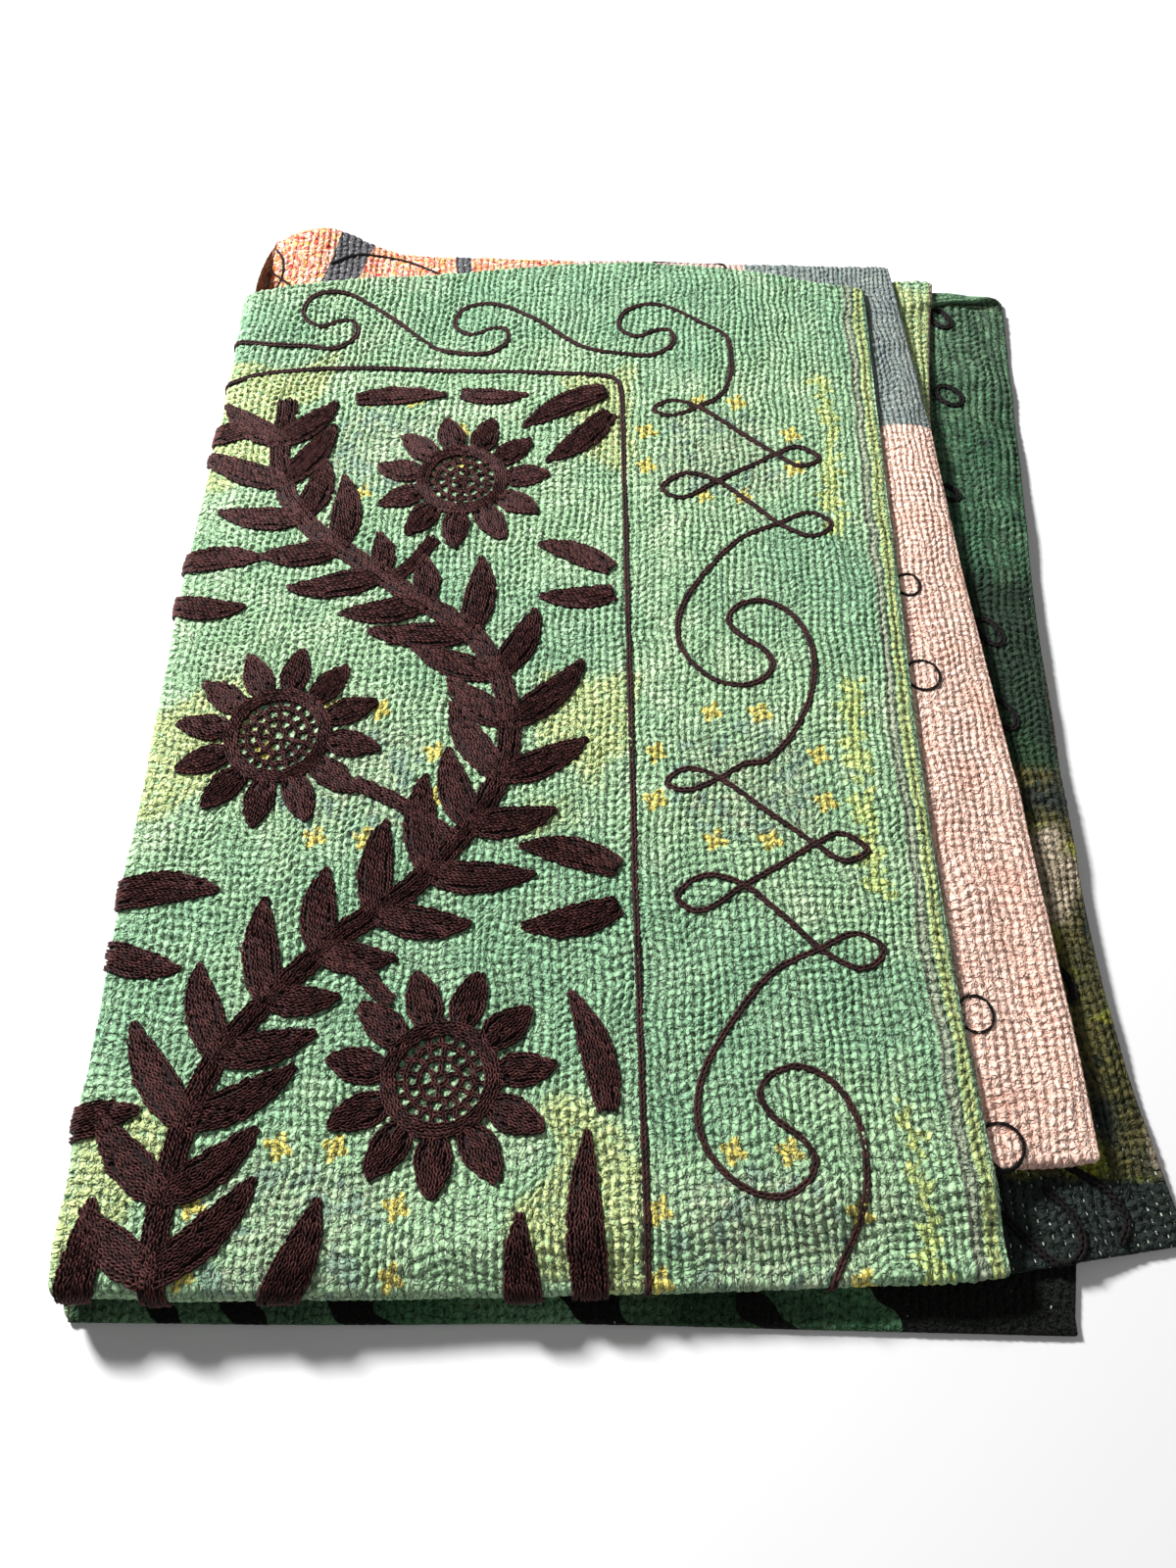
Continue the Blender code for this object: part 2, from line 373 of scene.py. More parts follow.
# ---- materials
def srgb(red, green, blue):
    """A colour for the nodes, from its usual values out of 255."""
    parts = (red / 255, green / 255, blue / 255)
    return tuple(p / 12.92 if p <= 0.04045 else ((p + 0.055) / 1.055) ** 2.4 for p in parts) + (1.0,)


class Shader:
    """A Principled material whose nodes are added one call at a time."""

    def __init__(self, name, roughness, sheen):
        self.material = bpy.data.materials.new(name)
        self.material.use_nodes = True
        self.tree = self.material.node_tree
        self.out = self.tree.nodes["Principled BSDF"]
        self.out.inputs["Roughness"].default_value = roughness
        self.out.inputs["Sheen Weight"].default_value = sheen
        self.out.inputs["Sheen Roughness"].default_value = 0.5
        self.out.inputs["Specular IOR Level"].default_value = 0.15

    def node(self, kind, inputs=(), **settings):
        """A new node. A socket among the inputs is linked, and a plain value is set."""
        node = self.tree.nodes.new(kind)
        for label, value in settings.items():
            setattr(node, label, value)
        for key, value in dict(inputs).items():
            if isinstance(value, bpy.types.NodeSocket):
                self.tree.links.new(value, node.inputs[key])
            else:
                node.inputs[key].default_value = value
        return node

    def number(self, attribute):
        return self.node("ShaderNodeAttribute", attribute_name=attribute).outputs["Fac"]

    def sum(self, operation, first, second=0.0, third=0.0):
        node = self.node("ShaderNodeMath", {0: first, 1: second, 2: third}, operation=operation)
        return node.outputs[0]

    def place(self):
        """The place on the flat cloth, in metres."""
        inputs = {"X": self.number("across"), "Y": self.number("along")}
        return self.node("ShaderNodeCombineXYZ", inputs).outputs[0]

    def noise(self, size, detail=2.0, stretch=(1.0, 1.0)):
        scaled = self.node(
            "ShaderNodeVectorMath",
            {0: self.place(), 1: (stretch[0] / size, stretch[1] / size, 1.0)},
            operation="MULTIPLY",
        )
        inputs = {"Vector": scaled.outputs[0], "Scale": 1.0, "Detail": detail, "Roughness": 0.55}
        return self.node("ShaderNodeTexNoise", inputs).outputs["Fac"]

    def range(self, value, low, high, to_low=0.0, to_high=1.0):
        inputs = {"Value": value, "From Min": low, "From Max": high, "To Min": to_low, "To Max": to_high}
        node = self.node("ShaderNodeMapRange", inputs, interpolation_type="SMOOTHSTEP")
        return node.outputs["Result"]

    def mix(self, factor, first, second, blend="MIX"):
        inputs = {0: factor, 6: first, 7: second}  # the colour sockets
        return self.node("ShaderNodeMix", inputs, data_type="RGBA", blend_type=blend).outputs[2]

    def puff_of(self, count):
        """A crease at each whole number, with round puffs between."""
        away = self.sum("ABSOLUTE", self.sum("SUBTRACT", count, self.sum("ROUND", count)))
        away = self.sum("MULTIPLY", away, 2.0)
        return self.sum("MULTIPLY", away, self.sum("SUBTRACT", 2.0, away))

    def wobble(self, value, size, reach, stretch):
        """A value moved up to half its reach either way, in lumps of a size."""
        off = self.sum("SUBTRACT", self.noise(size, 1.0, stretch), 0.5)
        return self.sum("MULTIPLY_ADD", off, reach, value)

    def mottle(self, colours, size):
        """Several colours in soft lumps of a size, or one plain colour."""
        if len(colours) == 1:
            return srgb(*colours[0])
        ramp = self.node("ShaderNodeValToRGB", {"Fac": self.noise(size, 3.0 if len(colours) < 5 else 1.0)})
        stops = ramp.color_ramp.elements
        while len(stops) < len(colours):
            stops.new(0.5)
        for number, colour in enumerate(colours):
            stops[number].position = 0.30 + 0.40 * number / (len(colours) - 1)
            stops[number].color = srgb(*colour)
        return ramp.outputs["Color"]

    def bump(self, height, distance, before=None):
        inputs = {"Height": height, "Distance": distance, "Strength": 1.0}
        if before is not None:
            inputs["Normal"] = before
        return self.node("ShaderNodeBump", inputs).outputs["Normal"]

    def finish(self, colour, normal):
        self.tree.links.new(colour, self.out.inputs["Base Color"])
        self.tree.links.new(normal, self.out.inputs["Normal"])
        return self.material


STITCH_WHITE = srgb(226, 236, 214)
STITCH_HALF = (0.00022, 0.00042)  # from a stitch's middle line to where it fades, and is gone
ROW_WOBBLE = (0.0065, 0.70, (1.0, 0.8))  # lump size, reach and stretch of the puffs' unevenness
STITCH_WOBBLE = (0.0050, 1.10, (1.1, 0.9))
PUFF_BUMP, CREASE_BUMP = 0.0017, 0.0010
FINE_BUMPS = (
    # lump size, detail, stretch, depth: from soft lumps down to the weave
    (0.0042, 2.0, (1.0, 1.15), 0.0020),
    (0.0018, 2.0, (1.5, 0.8), 0.0005),
    (0.0007, 1.0, (1.0, 1.0), 0.00015),
)


def cotton(name, ground, overlays, painted_crease_shade, rubbed):
    """Quilted cotton. ground and each overlay's colours are mottled; an overlay is shown where
    its attribute, a distance inside its edge, is over 0, with a soft and wandering edge. Shade
    is painted into the creases: there the colour is multiplied by the tint given for it, and rubbed shows in
    worn flecks."""
    made = Shader(name, roughness=0.9, sheen=0.05)
    rows, along = made.number("rows"), made.number("along")
    colour = made.mottle(*ground)
    for attribute, colours, size, soft, wander, strength in overlays:
        edge = made.sum("MULTIPLY", made.sum("SUBTRACT", made.noise(wander * 1.2, 3.0), 0.5), wander)
        inside = made.range(made.sum("ADD", made.number(attribute), edge), -soft / 2, soft / 2, 0.0, strength)
        colour = made.mix(inside, colour, made.mottle(colours, size))
    # The puckers again, a little astray, for the painted shade between them and for the bumps.
    beat = made.sum("MULTIPLY_ADD", along, 1 / STITCH, made.number("drift"))
    between = made.puff_of(made.wobble(rows, *ROW_WOBBLE))
    across = made.puff_of(made.wobble(beat, *STITCH_WOBBLE))
    puff = made.sum("MULTIPLY", across, PUFF_CROSS + PUFF_BOTH / 2)
    puff = made.sum("MULTIPLY_ADD", between, PUFF_ROW + PUFF_BOTH / 2, puff)
    # Short creases that run anywhere.
    astray = made.sum("ABSOLUTE", made.sum("SUBTRACT", made.noise(0.0062, 1.5, (1.1, 0.9)), 0.5))
    crease = made.range(astray, 0.0, 0.075)
    # Painted shade: the colour is darkened in the creases and where the mesh's relief is low. The cloth is
    # also rubbed in small random flecks.
    shade = made.range(puff, 0.07, 0.70)
    shade = made.sum("MULTIPLY", shade, made.range(made.number("crest"), 0.05, 0.60, 0.30, 1.0))
    shade = made.sum("MULTIPLY", shade, made.range(crease, 0.0, 0.8, 0.55, 1.0))
    colour = made.mix(shade, made.mix(1.0, colour, painted_crease_shade, "MULTIPLY"), colour)
    worn = made.range(made.noise(0.0016, 3.0), 0.35, 0.75, 0.0, 0.16)
    colour = made.mix(worn, colour, srgb(*rubbed))
    # Running stitches.
    line = made.sum("ROUND", rows)
    phase = made.sum("FRACT", beat)
    on_stitch = made.range(made.sum("ABSOLUTE", made.sum("SUBTRACT", phase, 0.5)), 0.34, 0.38)
    off_line = made.sum("MULTIPLY", made.sum("ABSOLUTE", made.sum("SUBTRACT", rows, line)), ROW)
    on_line = made.range(off_line, *STITCH_HALF, 1.0, 0.0)
    bare = made.sum("MULTIPLY_ADD", made.number("sewn"), 0.45, made.noise(0.011, 1.0))
    stitches = made.sum("MULTIPLY", on_stitch, on_line)
    stitches = made.sum("MULTIPLY", stitches, made.range(bare, 0.66, 0.76))
    colour = made.mix(stitches, colour, STITCH_WHITE)
    # Puckers where the mesh has none, then creases and the weave.
    normal = made.bump(made.sum("MULTIPLY", puff, made.number("plain")), RELIEF)
    normal = made.bump(puff, PUFF_BUMP, normal)
    normal = made.bump(crease, CREASE_BUMP, normal)
    for size, detail, stretch, depth in FINE_BUMPS:
        normal = made.bump(made.noise(size, detail, stretch), depth, normal)
    return made.finish(colour, normal)


THREAD_BUMP = 0.0004


def thread(name, dark, light):
    """Twisted thread with painted shade: light on each link's crown and dark down its sides, with a fine
    random tone.
    """
    made = Shader(name, roughness=0.72, sheen=0.08)
    coordinates = made.node("ShaderNodeTexCoord").outputs["Object"]
    fine = made.node("ShaderNodeTexNoise", {"Vector": coordinates, "Scale": 900.0, "Detail": 3.0})
    shade = made.sum("MULTIPLY_ADD", fine.outputs["Fac"], 0.5, made.number("shade"))
    colour = made.mix(made.range(shade, 0.2, 1.3), srgb(*dark), srgb(*light))
    return made.finish(colour, made.bump(fine.outputs["Fac"], THREAD_BUMP))


GREEN_PRINT = cotton(
    "green_print_cotton",
    ground=(((144, 186, 142), (164, 203, 156), (188, 216, 172)), 0.040),
    overlays=(
        # attribute, colours, lump size, softness of the edge, wander of the edge, strength
        ("teal", ((104, 160, 126), (122, 178, 138)), 0.020, 0.030, 0.030, 0.55),
        ("lime", ((190, 208, 124), (212, 218, 140), (160, 206, 144)), 0.008, 0.016, 0.030, 0.75),
        ("dusty", ((178, 176, 148), (150, 196, 150)), 0.007, 0.020, 0.020, 0.6),
        ("band", ((220, 222, 110), (190, 218, 126)), 0.008, 0.005, 0.012, 0.75),
        ("bloom", ((226, 200, 76), (236, 222, 112)), 0.006, 0.0015, 0.003, 0.9),
        ("ink", ((84, 130, 128), (120, 150, 140)), 0.006, 0.003, 0.004, 0.5),
        ("grey_stripe", ((146, 156, 132), (166, 172, 146)), 0.010, 0.0015, 0.001, 0.9),
        ("gold_stripe", ((170, 196, 116), (204, 206, 120), (146, 190, 126)), 0.008, 0.0015, 0.002, 0.80),
        ("edge", ((240, 196, 176),), 0.010, 0.0006, 0.001, 1.0),
    ),
    # the tint of the painted shade in the creases
    painted_crease_shade=(0.07, 0.15, 0.10, 1.0),
    rubbed=(236, 240, 224),
)
REVERSE = cotton(
    "patched_reverse_cotton",
    ground=(((248, 198, 178), (255, 218, 200), (250, 206, 188)), 0.05),
    overlays=(
        ("slate", ((104, 124, 126), (134, 150, 146)), 0.030, 0.0008, 0.001, 1.0),
        ("blush", ((240, 224, 214), (222, 176, 168), (206, 214, 200)), 0.008, 0.0008, 0.001, 1.0),
        (
            "coral",
            (
                (190, 34, 62), (246, 150, 60), (252, 228, 206), (238, 84, 100),
                (248, 182, 84), (250, 216, 196), (232, 70, 62), (246, 138, 56),
            ),
            0.012, 0.0008, 0.001, 1.0,
        ),
        ("coal", ((58, 62, 72), (76, 80, 90)), 0.02, 0.0008, 0.001, 1.0),
    ),
    # the tint of the painted shade in the creases
    painted_crease_shade=(0.84, 0.66, 0.60, 1.0),
    rubbed=(250, 238, 228),
)
DARK_PRINT = cotton(
    "dark_print_cotton",
    ground=(((66, 112, 80), (92, 144, 104), (126, 168, 126)), 0.03),
    overlays=(
        ("pale", ((116, 160, 124), (152, 190, 150)), 0.02, 0.10, 0.03, 0.6),
        ("deep", ((26, 50, 30), (44, 66, 40)), 0.02, 0.08, 0.03, 0.9),
        ("khaki", ((60, 62, 38), (102, 94, 52), (38, 46, 32)), 0.014, 0.02, 0.03, 1.0),
        ("spots", ((170, 160, 50), (120, 140, 60)), 0.008, 0.004, 0.02, 0.9),
        ("beige", ((196, 178, 156), (150, 136, 110)), 0.012, 0.010, 0.016, 1.0),
        ("slate", ((30, 38, 38), (44, 53, 52)), 0.020, 0.010, 0.010, 1.0),
        # the near strip's embroidered figures, near-black: the dark thread with painted shade
        ("black_motif", ((4, 4, 5), (10, 8, 9)), 0.010, 0.001, 0.002, 1.0),
    ),
    # the tint of the painted shade in the creases
    painted_crease_shade=(0.26, 0.30, 0.26, 1.0),
    rubbed=(66, 84, 58),
)
BROWN_THREAD = thread("brown_thread", (20, 8, 8), (100, 58, 55))
LINE_THREAD = thread("line_thread", (16, 7, 7), (66, 36, 34))
BLACK_THREAD = thread("black_thread", (4, 3, 3), (20, 12, 12))


# ---- drawing on the cloth
def path(points, step):
    """A smooth path through points, with its own points about a step apart: places, and the
    unit directions."""
    points = np.asarray(points, float)
    fine = np.linspace(0.0, 1.0, 60 * len(points))
    line = np.stack([through(points[:, 0], fine), through(points[:, 1], fine)], -1)
    run = np.concatenate([[0.0], np.cumsum(np.linalg.norm(np.diff(line, axis=0), axis=1))])
    count = max(int(round(run[-1] / step)), 2)
    at = np.linspace(0.0, run[-1], count + 1)
    line = np.stack([np.interp(at, run, line[:, 0]), np.interp(at, run, line[:, 1])], -1)
    ahead = np.gradient(line, axis=0)
    return line, ahead / np.linalg.norm(ahead, axis=1, keepdims=True)


def sideways(ahead):
    return np.stack([-ahead[:, 1], ahead[:, 0]], -1)


def aside_of(line):
    """The unit directions across a line."""
    ahead = np.gradient(line, axis=0)
    return sideways(ahead / np.linalg.norm(ahead, axis=1, keepdims=True))


def oval(u, v, wide, long, step, least, lean=0.0):
    """Points about a step apart round an oval."""
    count = max(int(round(2 * math.pi * (wide + long) / 2 / step)), least)
    angle = 2 * math.pi * np.arange(count) / count
    return np.stack([u + wide * np.cos(angle) + lean * long * np.sin(angle), v + long * np.sin(angle)], -1)


CHAIN = 0.0044  # from one link of a chain-stitched line to the next
CHAIN_WIDE, CHAIN_THICK = 0.0050, 0.0019
LINE_HALF = 0.45  # the half width that a line takes up on the map, for each unit of width
LINE_BASE, LOOP_BASE = 0.0005, 0.0008  # how far the lines' links stand off the cloth
FILL_CHAIN = 0.0036
FILL_THICK = 0.0023
FILL_ROW = 0.0036  # between the rows that fill a motif
FILL_BASE = 0.0017  # how far the rows below lift the ones that show


def link_list(line, wide, base, skip=None, closed=False):
    """Links along a path's points: place, direction, length, width and base height, as rows."""
    points = np.concatenate([line, line[:1]]) if closed else line
    ahead = np.diff(points, axis=0)
    long = np.linalg.norm(ahead, axis=1)
    wide = np.broadcast_to(wide, long.shape)
    base = np.broadcast_to(base, long.shape)
    links = np.column_stack([points[:-1], ahead / long[:, None], long, wide, base])
    return links if skip is None else links[~skip[: len(links)]]


def strand_template(stations, profile):
    """The two strands of a link: points (along, aside, up) in link sizes, and their quads.
    stations: (along, aside, rise); profile: (aside, up) across one strand."""
    points, quads = [], []
    for side in (-1, 1):
        first = len(points)
        for along, aside, rise in stations:
            points += [(along, side * (aside + across), rise + up) for across, up in profile]
        wide = len(profile)
        for station in range(len(stations) - 1):
            for edge in range(wide - 1):
                a = first + station * wide + edge
                quads.append((a, a + 1, a + wide + 1, a + wide)[::-side])
    return np.array(points), np.array(quads)


LINE_LINK = strand_template(
    # along, aside, rise (all shares of a link's length, width and thickness)
    stations=(
        (-0.10, 0.07, -0.45), (0.20, 0.22, -0.15), (0.55, 0.27, 0.0), (0.90, 0.20, 0.05), (1.22, 0.05, -0.10),
    ),
    profile=((0.24, 0.0), (0.18, 0.75), (0.0, 1.0), (-0.17, 0.70), (-0.20, 0.10)),
)
FILL_LINK = strand_template(
    stations=((-0.12, 0.06, -0.30), (0.30, 0.24, 0.0), (0.75, 0.25, 0.05), (1.22, 0.04, -0.25)),
    profile=((0.27, 0.0), (0.0, 1.0), (-0.20, 0.15)),
)


def chain(name, layer, links, template, thick, material, loose):
    """A mesh of chain-stitch links on a layer, each turned a little by chance."""
    points, quads = template
    count = len(links)
    place, ahead, long, wide, base = np.split(links, (2, 4, 5, 6), axis=1)
    turn = rng.normal(0.0, loose, (count, 1))
    ahead = np.column_stack([
        ahead[:, :1] * np.cos(turn) - ahead[:, 1:] * np.sin(turn),
        ahead[:, :1] * np.sin(turn) + ahead[:, 1:] * np.cos(turn),
    ])
    aside = sideways(ahead)
    wide = wide * rng.uniform(0.92, 1.10, (count, 1))
    along, across, up = points[:, 0], points[:, 1], points[:, 2]
    u = place[:, :1] + ahead[:, :1] * long * along + aside[:, :1] * wide * across
    v = place[:, 1:] + ahead[:, 1:] * long * along + aside[:, 1:] * wide * across
    lift = CLOTH / 2 + base + thick * up * rng.uniform(0.88, 1.08, (count, 1))
    numbers = (np.arange(count)[:, None, None] * len(points) + quads).reshape(-1, 4)
    # Painted shade: each link is darkest down its sides and between the links, scaled by a random tone per
    # link.
    shade = rng.uniform(0.35, 1.0, (count, 1)) * np.clip(up, 0.0, 1.0)  # darker down between the links
    return mesh_object(name, surface(layer, u, v, lift), numbers, material, {"shade": shade})


MAP_CELL = 0.002
MAP_FROM = np.array([-0.05, -0.05])
MAP_ROWS, MAP_COLUMNS = 530, 400
stitched_maps = {layer: np.zeros((MAP_ROWS, MAP_COLUMNS)) for layer in LAYERS}


def stamp(layer, line, half):
    """Marks a ribbon on the map of where a layer is stitched over."""
    stitched_map = stitched_maps[layer]
    for (u, v), wide in zip(line, half):
        col, row = (np.array([u, v]) - MAP_FROM) / MAP_CELL
        reach = int(wide / MAP_CELL) + 2
        near, left = int(row) - reach, int(col) - reach
        rows, cols = np.mgrid[near : near + 2 * reach + 1, left : left + 2 * reach + 1]
        inside = np.clip(wide / MAP_CELL + 0.5 - np.hypot(cols - col, rows - row), 0.0, 1.0)
        keep = (rows >= 0) & (rows < MAP_ROWS) & (cols >= 0) & (cols < MAP_COLUMNS)
        rows, cols, inside = rows[keep], cols[keep], inside[keep]
        stitched_map[rows, cols] = np.maximum(stitched_map[rows, cols], inside)


def stitched(layer, u, v):
    """How far a place is stitched over, from 0 to 1."""
    col = np.clip((u - MAP_FROM[0]) / MAP_CELL, 0, MAP_COLUMNS - 2)
    row = np.clip((v - MAP_FROM[1]) / MAP_CELL, 0, MAP_ROWS - 2)
    c, r = col.astype(int), row.astype(int)
    return between_cells(stitched_maps[layer], r, c, row - r, col - c)


# ---- the border's lines
FRAME_CORNER = (0.350, 0.778)
FRAME_NEAR = 0.363  # where the frame's side meets the near fold
FRAME_LINE = (
    (-0.012, 0.760), (0.030, 0.776), (0.120, 0.786), (0.240, 0.784), (0.325, 0.780), (0.343, 0.776),
    (0.348, 0.762), (0.350, 0.720), (0.353, 0.520), (0.357, 0.280), (0.360, 0.140), (0.363, 0.010),
    (0.364, -0.020),
)
# One wave of the far border's scroll, and how far on the next one starts.
WAVE = (
    (0.000, 0.000), (0.028, -0.001), (0.046, 0.013), (0.044, 0.030), (0.030, 0.030), (0.013, 0.022),
    (-0.003, 0.034), (0.001, 0.054), (0.016, 0.064), (0.038, 0.063), (0.074, 0.041), (0.116, 0.008),
)
WAVE_STARTS, WAVE_LEVEL = (0.059, 0.198, 0.350), 0.808
# One stretch of the side border's scroll: four loops, then a double curl.
LOOPS = (
    (-0.004, 0.006), (-0.024, -0.007), (-0.047, -0.017), (-0.063, -0.011), (-0.048, 0.001),
    (-0.024, -0.006), (0.010, -0.033), (0.044, -0.060), (0.063, -0.073), (0.081, -0.064),
    (0.063, -0.051), (0.044, -0.059), (0.018, -0.076), (-0.010, -0.093), (-0.040, -0.112),
    (-0.057, -0.101), (-0.037, -0.085), (-0.010, -0.092), (0.014, -0.113), (0.042, -0.141),
    (0.068, -0.154), (0.085, -0.140), (0.066, -0.128), (0.042, -0.139), (0.006, -0.158),
    (-0.024, -0.194), (-0.044, -0.230), (-0.047, -0.262), (-0.037, -0.284), (-0.018, -0.300),
    (0.002, -0.304), (0.019, -0.296), (0.026, -0.282), (0.018, -0.268), (0.002, -0.256),
    (-0.007, -0.241), (0.002, -0.227), (0.022, -0.222), (0.042, -0.233), (0.055, -0.256),
    (0.058, -0.284), (0.052, -0.316), (0.036, -0.348), (0.016, -0.370),
)
LOOPS_START, LOOPS_STEP, LOOP_RUNS = (0.440, 0.750), (0.003, -0.380), 2
PAST_NEAR = ((0.468, -0.004), (0.455, -0.022))


def scroll_points():
    """The points of the border's scroll: along the far end, then down the side."""
    points = [(-0.012, 0.812), (0.030, 0.808)]
    for number, start in enumerate(WAVE_STARTS):
        shown = WAVE if number < len(WAVE_STARTS) - 1 else WAVE[:-1]
        points += [(start + du, WAVE_LEVEL + dv) for du, dv in shown]
    points += [(0.446, 0.832), (0.449, 0.800), (0.446, 0.775)]
    for stretch in range(LOOP_RUNS):
        start_u, start_v = (LOOPS_START[axis] + stretch * LOOPS_STEP[axis] for axis in (0, 1))
        points += [(start_u + du, start_v + dv) for du, dv in LOOPS]
    return points[:-1] + list(PAST_NEAR)


def border_lines():
    links = []
    for points in (FRAME_LINE, scroll_points()):
        line, _ = path(points, CHAIN)
        stamp((FACE, 0), line, np.full(len(line), CHAIN_WIDE * LINE_HALF))
        links.append(link_list(line, CHAIN_WIDE, LINE_BASE))
    links = np.concatenate(links)
    return chain("border_lines", (FACE, 0), links, LINE_LINK, CHAIN_THICK, LINE_THREAD, 0.05)


# ---- the field's motifs
FLOWERS = (
    # u, v, radius, petals, turn
    (0.212, 0.655, 0.074, 11, 0.1),
    (0.088, 0.398, 0.078, 12, 0.4),
    (0.228, 0.138, 0.076, 11, 0.7),
)
STEM = (
    (0.068, -0.030), (0.060, 0.050), (0.078, 0.145), (0.140, 0.225), (0.215, 0.292), (0.262, 0.385),
    (0.240, 0.480), (0.160, 0.545), (0.085, 0.605), (0.054, 0.670), (0.052, 0.745),
)
STEM_WIDE, STALK_WIDE = 0.0085, 0.0058  # half widths
FLOWER_MIDDLE = 0.50  # a flower's open middle, as a share of its radius
LEAF_EVERY, LEAF_LONG, LEAF_WIDE, LEAF_TURN = 0.046, 0.074, 0.0125, 0.95
SPRAYS = (
    # u, v, direction in degrees, length, half width, bend: leaves that stand alone
    (-0.014, 0.560, 12, 0.070, 0.012, -0.5),
    (-0.014, 0.520, -8, 0.060, 0.011, 0.5),
    (-0.014, 0.262, 14, 0.078, 0.013, -0.6),
    (-0.012, 0.226, -20, 0.060, 0.011, 0.5),
    (0.335, 0.760, 205, 0.085, 0.012, 0.5),
    (0.338, 0.735, 232, 0.080, 0.012, -0.4),
    (0.340, 0.560, 150, 0.066, 0.011, 0.5),
    (0.342, 0.535, 190, 0.060, 0.011, -0.5),
    (0.345, 0.290, 160, 0.074, 0.012, 0.5),
    (0.345, 0.262, 200, 0.070, 0.012, -0.5),
    (0.128, -0.012, 62, 0.080, 0.013, 0.5),
    (0.010, -0.014, 80, 0.075, 0.012, 0.4),
    (0.333, -0.014, 98, 0.120, 0.012, -0.35),
    (0.296, -0.014, 108, 0.070, 0.011, -0.6),
    (0.338, 0.118, 102, 0.085, 0.011, 0.45),
    (0.112, 0.748, 8, 0.080, 0.010, -0.3),
    (0.205, 0.756, -6, 0.060, 0.009, 0.4),
    (-0.014, 0.700, 20, 0.058, 0.011, -0.4),
    (-0.014, 0.100, 24, 0.052, 0.011, -0.5),
)
STALKS = (
    # the points of a stalk from the stem to a flower
    ((0.140, 0.225), (0.165, 0.214), (0.190, 0.190)),
    ((0.230, 0.310), (0.190, 0.338), (0.150, 0.358)),
    ((0.160, 0.545), (0.178, 0.565), (0.192, 0.590)),
)


def leaf(u, v, direction, long, half_wide, bend):
    """A leaf or petal: its middle line and its half width at each of its points."""
    share = np.linspace(0.0, 1.0, max(int(round(long / FILL_CHAIN)), 4) + 1)
    turn = direction + bend * (share - 0.3)
    step = long / (len(share) - 1)
    steps = step * np.stack([np.cos(turn), np.sin(turn)], -1)[1:]
    line = np.array([u, v]) + np.concatenate([[[0.0, 0.0]], np.cumsum(steps, axis=0)])
    half = half_wide * np.sin(math.pi * (0.10 + 0.90 * share) ** 0.85) ** 0.65
    return line, np.maximum(half, 0.0016)


def stem_leaves():
    """Pairs of leaves along the stem, each cut short where a flower or the frame is near."""
    line, ahead = path(STEM, LEAF_EVERY)
    found = []
    for number in range(1, len(line) - 1):
        heading = math.atan2(ahead[number, 1], ahead[number, 0])
        for side in (-1, 1):
            long = LEAF_LONG * (0.86 + 0.22 * ((number * 7 + side * 3) % 5) / 4)
            direction = heading + side * LEAF_TURN
            while long > 0.020:
                tip = line[number] + long * np.array([math.cos(direction), math.sin(direction)])
                apart = min(math.dist(tip, flower[:2]) - flower[2] for flower in FLOWERS)
                if apart > 0.008 and tip[0] < 0.338 and tip[1] < 0.765:
                    break
                long -= 0.004
            if long > 0.024:
                half_wide = LEAF_WIDE * min(1.0, long / 0.055)
                found.append(leaf(*line[number], direction, long, half_wide, -0.5 * side))
    return found


def field_ribbons():
    """All the filled shapes of the field, as middle lines and half widths."""
    line, _ = path(STEM, FILL_CHAIN)
    ribbons = [(line, np.full(len(line), STEM_WIDE))]
    ribbons += stem_leaves()
    for u, v, degrees, long, half_wide, bend in SPRAYS:
        ribbons.append(leaf(u, v, math.radians(degrees), long, half_wide, bend))
    for points in STALKS:
        line, _ = path(points, FILL_CHAIN)
        ribbons.append((line, np.full(len(line), STALK_WIDE)))
    for u, v, radius, petals, turn in FLOWERS:
        start = radius * FLOWER_MIDDLE
        wide = 0.72 * math.pi * radius * 0.78 / petals
        for petal in range(petals):
            angle = turn + 2 * math.pi * petal / petals
            from_u, from_v = u + start * math.cos(angle), v + start * math.sin(angle)
            line, half = leaf(from_u, from_v, angle, radius - start, wide, 0.0)
            foot = 0.55 * wide * (1 - np.linspace(0, 1, len(half)) ** 3)
            ribbons.append((line, np.maximum(half, foot)))
    return ribbons


def ribbon_links(line, half):
    """The chain rows that fill a ribbon: rows beside each other, and one along each edge."""
    aside = aside_of(line)
    links = []
    count = int(2 * half.max() / FILL_ROW)
    for row in range(count):
        offset = (row - (count - 1) / 2) * FILL_ROW
        skip = abs(offset) > half - 1.15 * FILL_ROW
        shift = 0.5 * np.gradient(line, axis=0) * (row % 2)
        links.append(link_list(line + shift + aside * offset, FILL_ROW * 1.12, FILL_BASE, skip))
    for side in (-1, 1):
        inside = np.maximum(half - 0.45 * FILL_ROW, 0.25 * FILL_ROW)
        links.append(link_list(line + side * aside * inside[:, None], FILL_ROW * 1.15, FILL_BASE * 0.7))
    return np.concatenate(links)


def ring_links(u, v, radius, wide, base):
    return link_list(oval(u, v, radius, radius, FILL_CHAIN, 5), wide, base, closed=True)


NET_ROW = 0.0090  # between the rings of a flower's open middle
NET_BASE = 0.0003


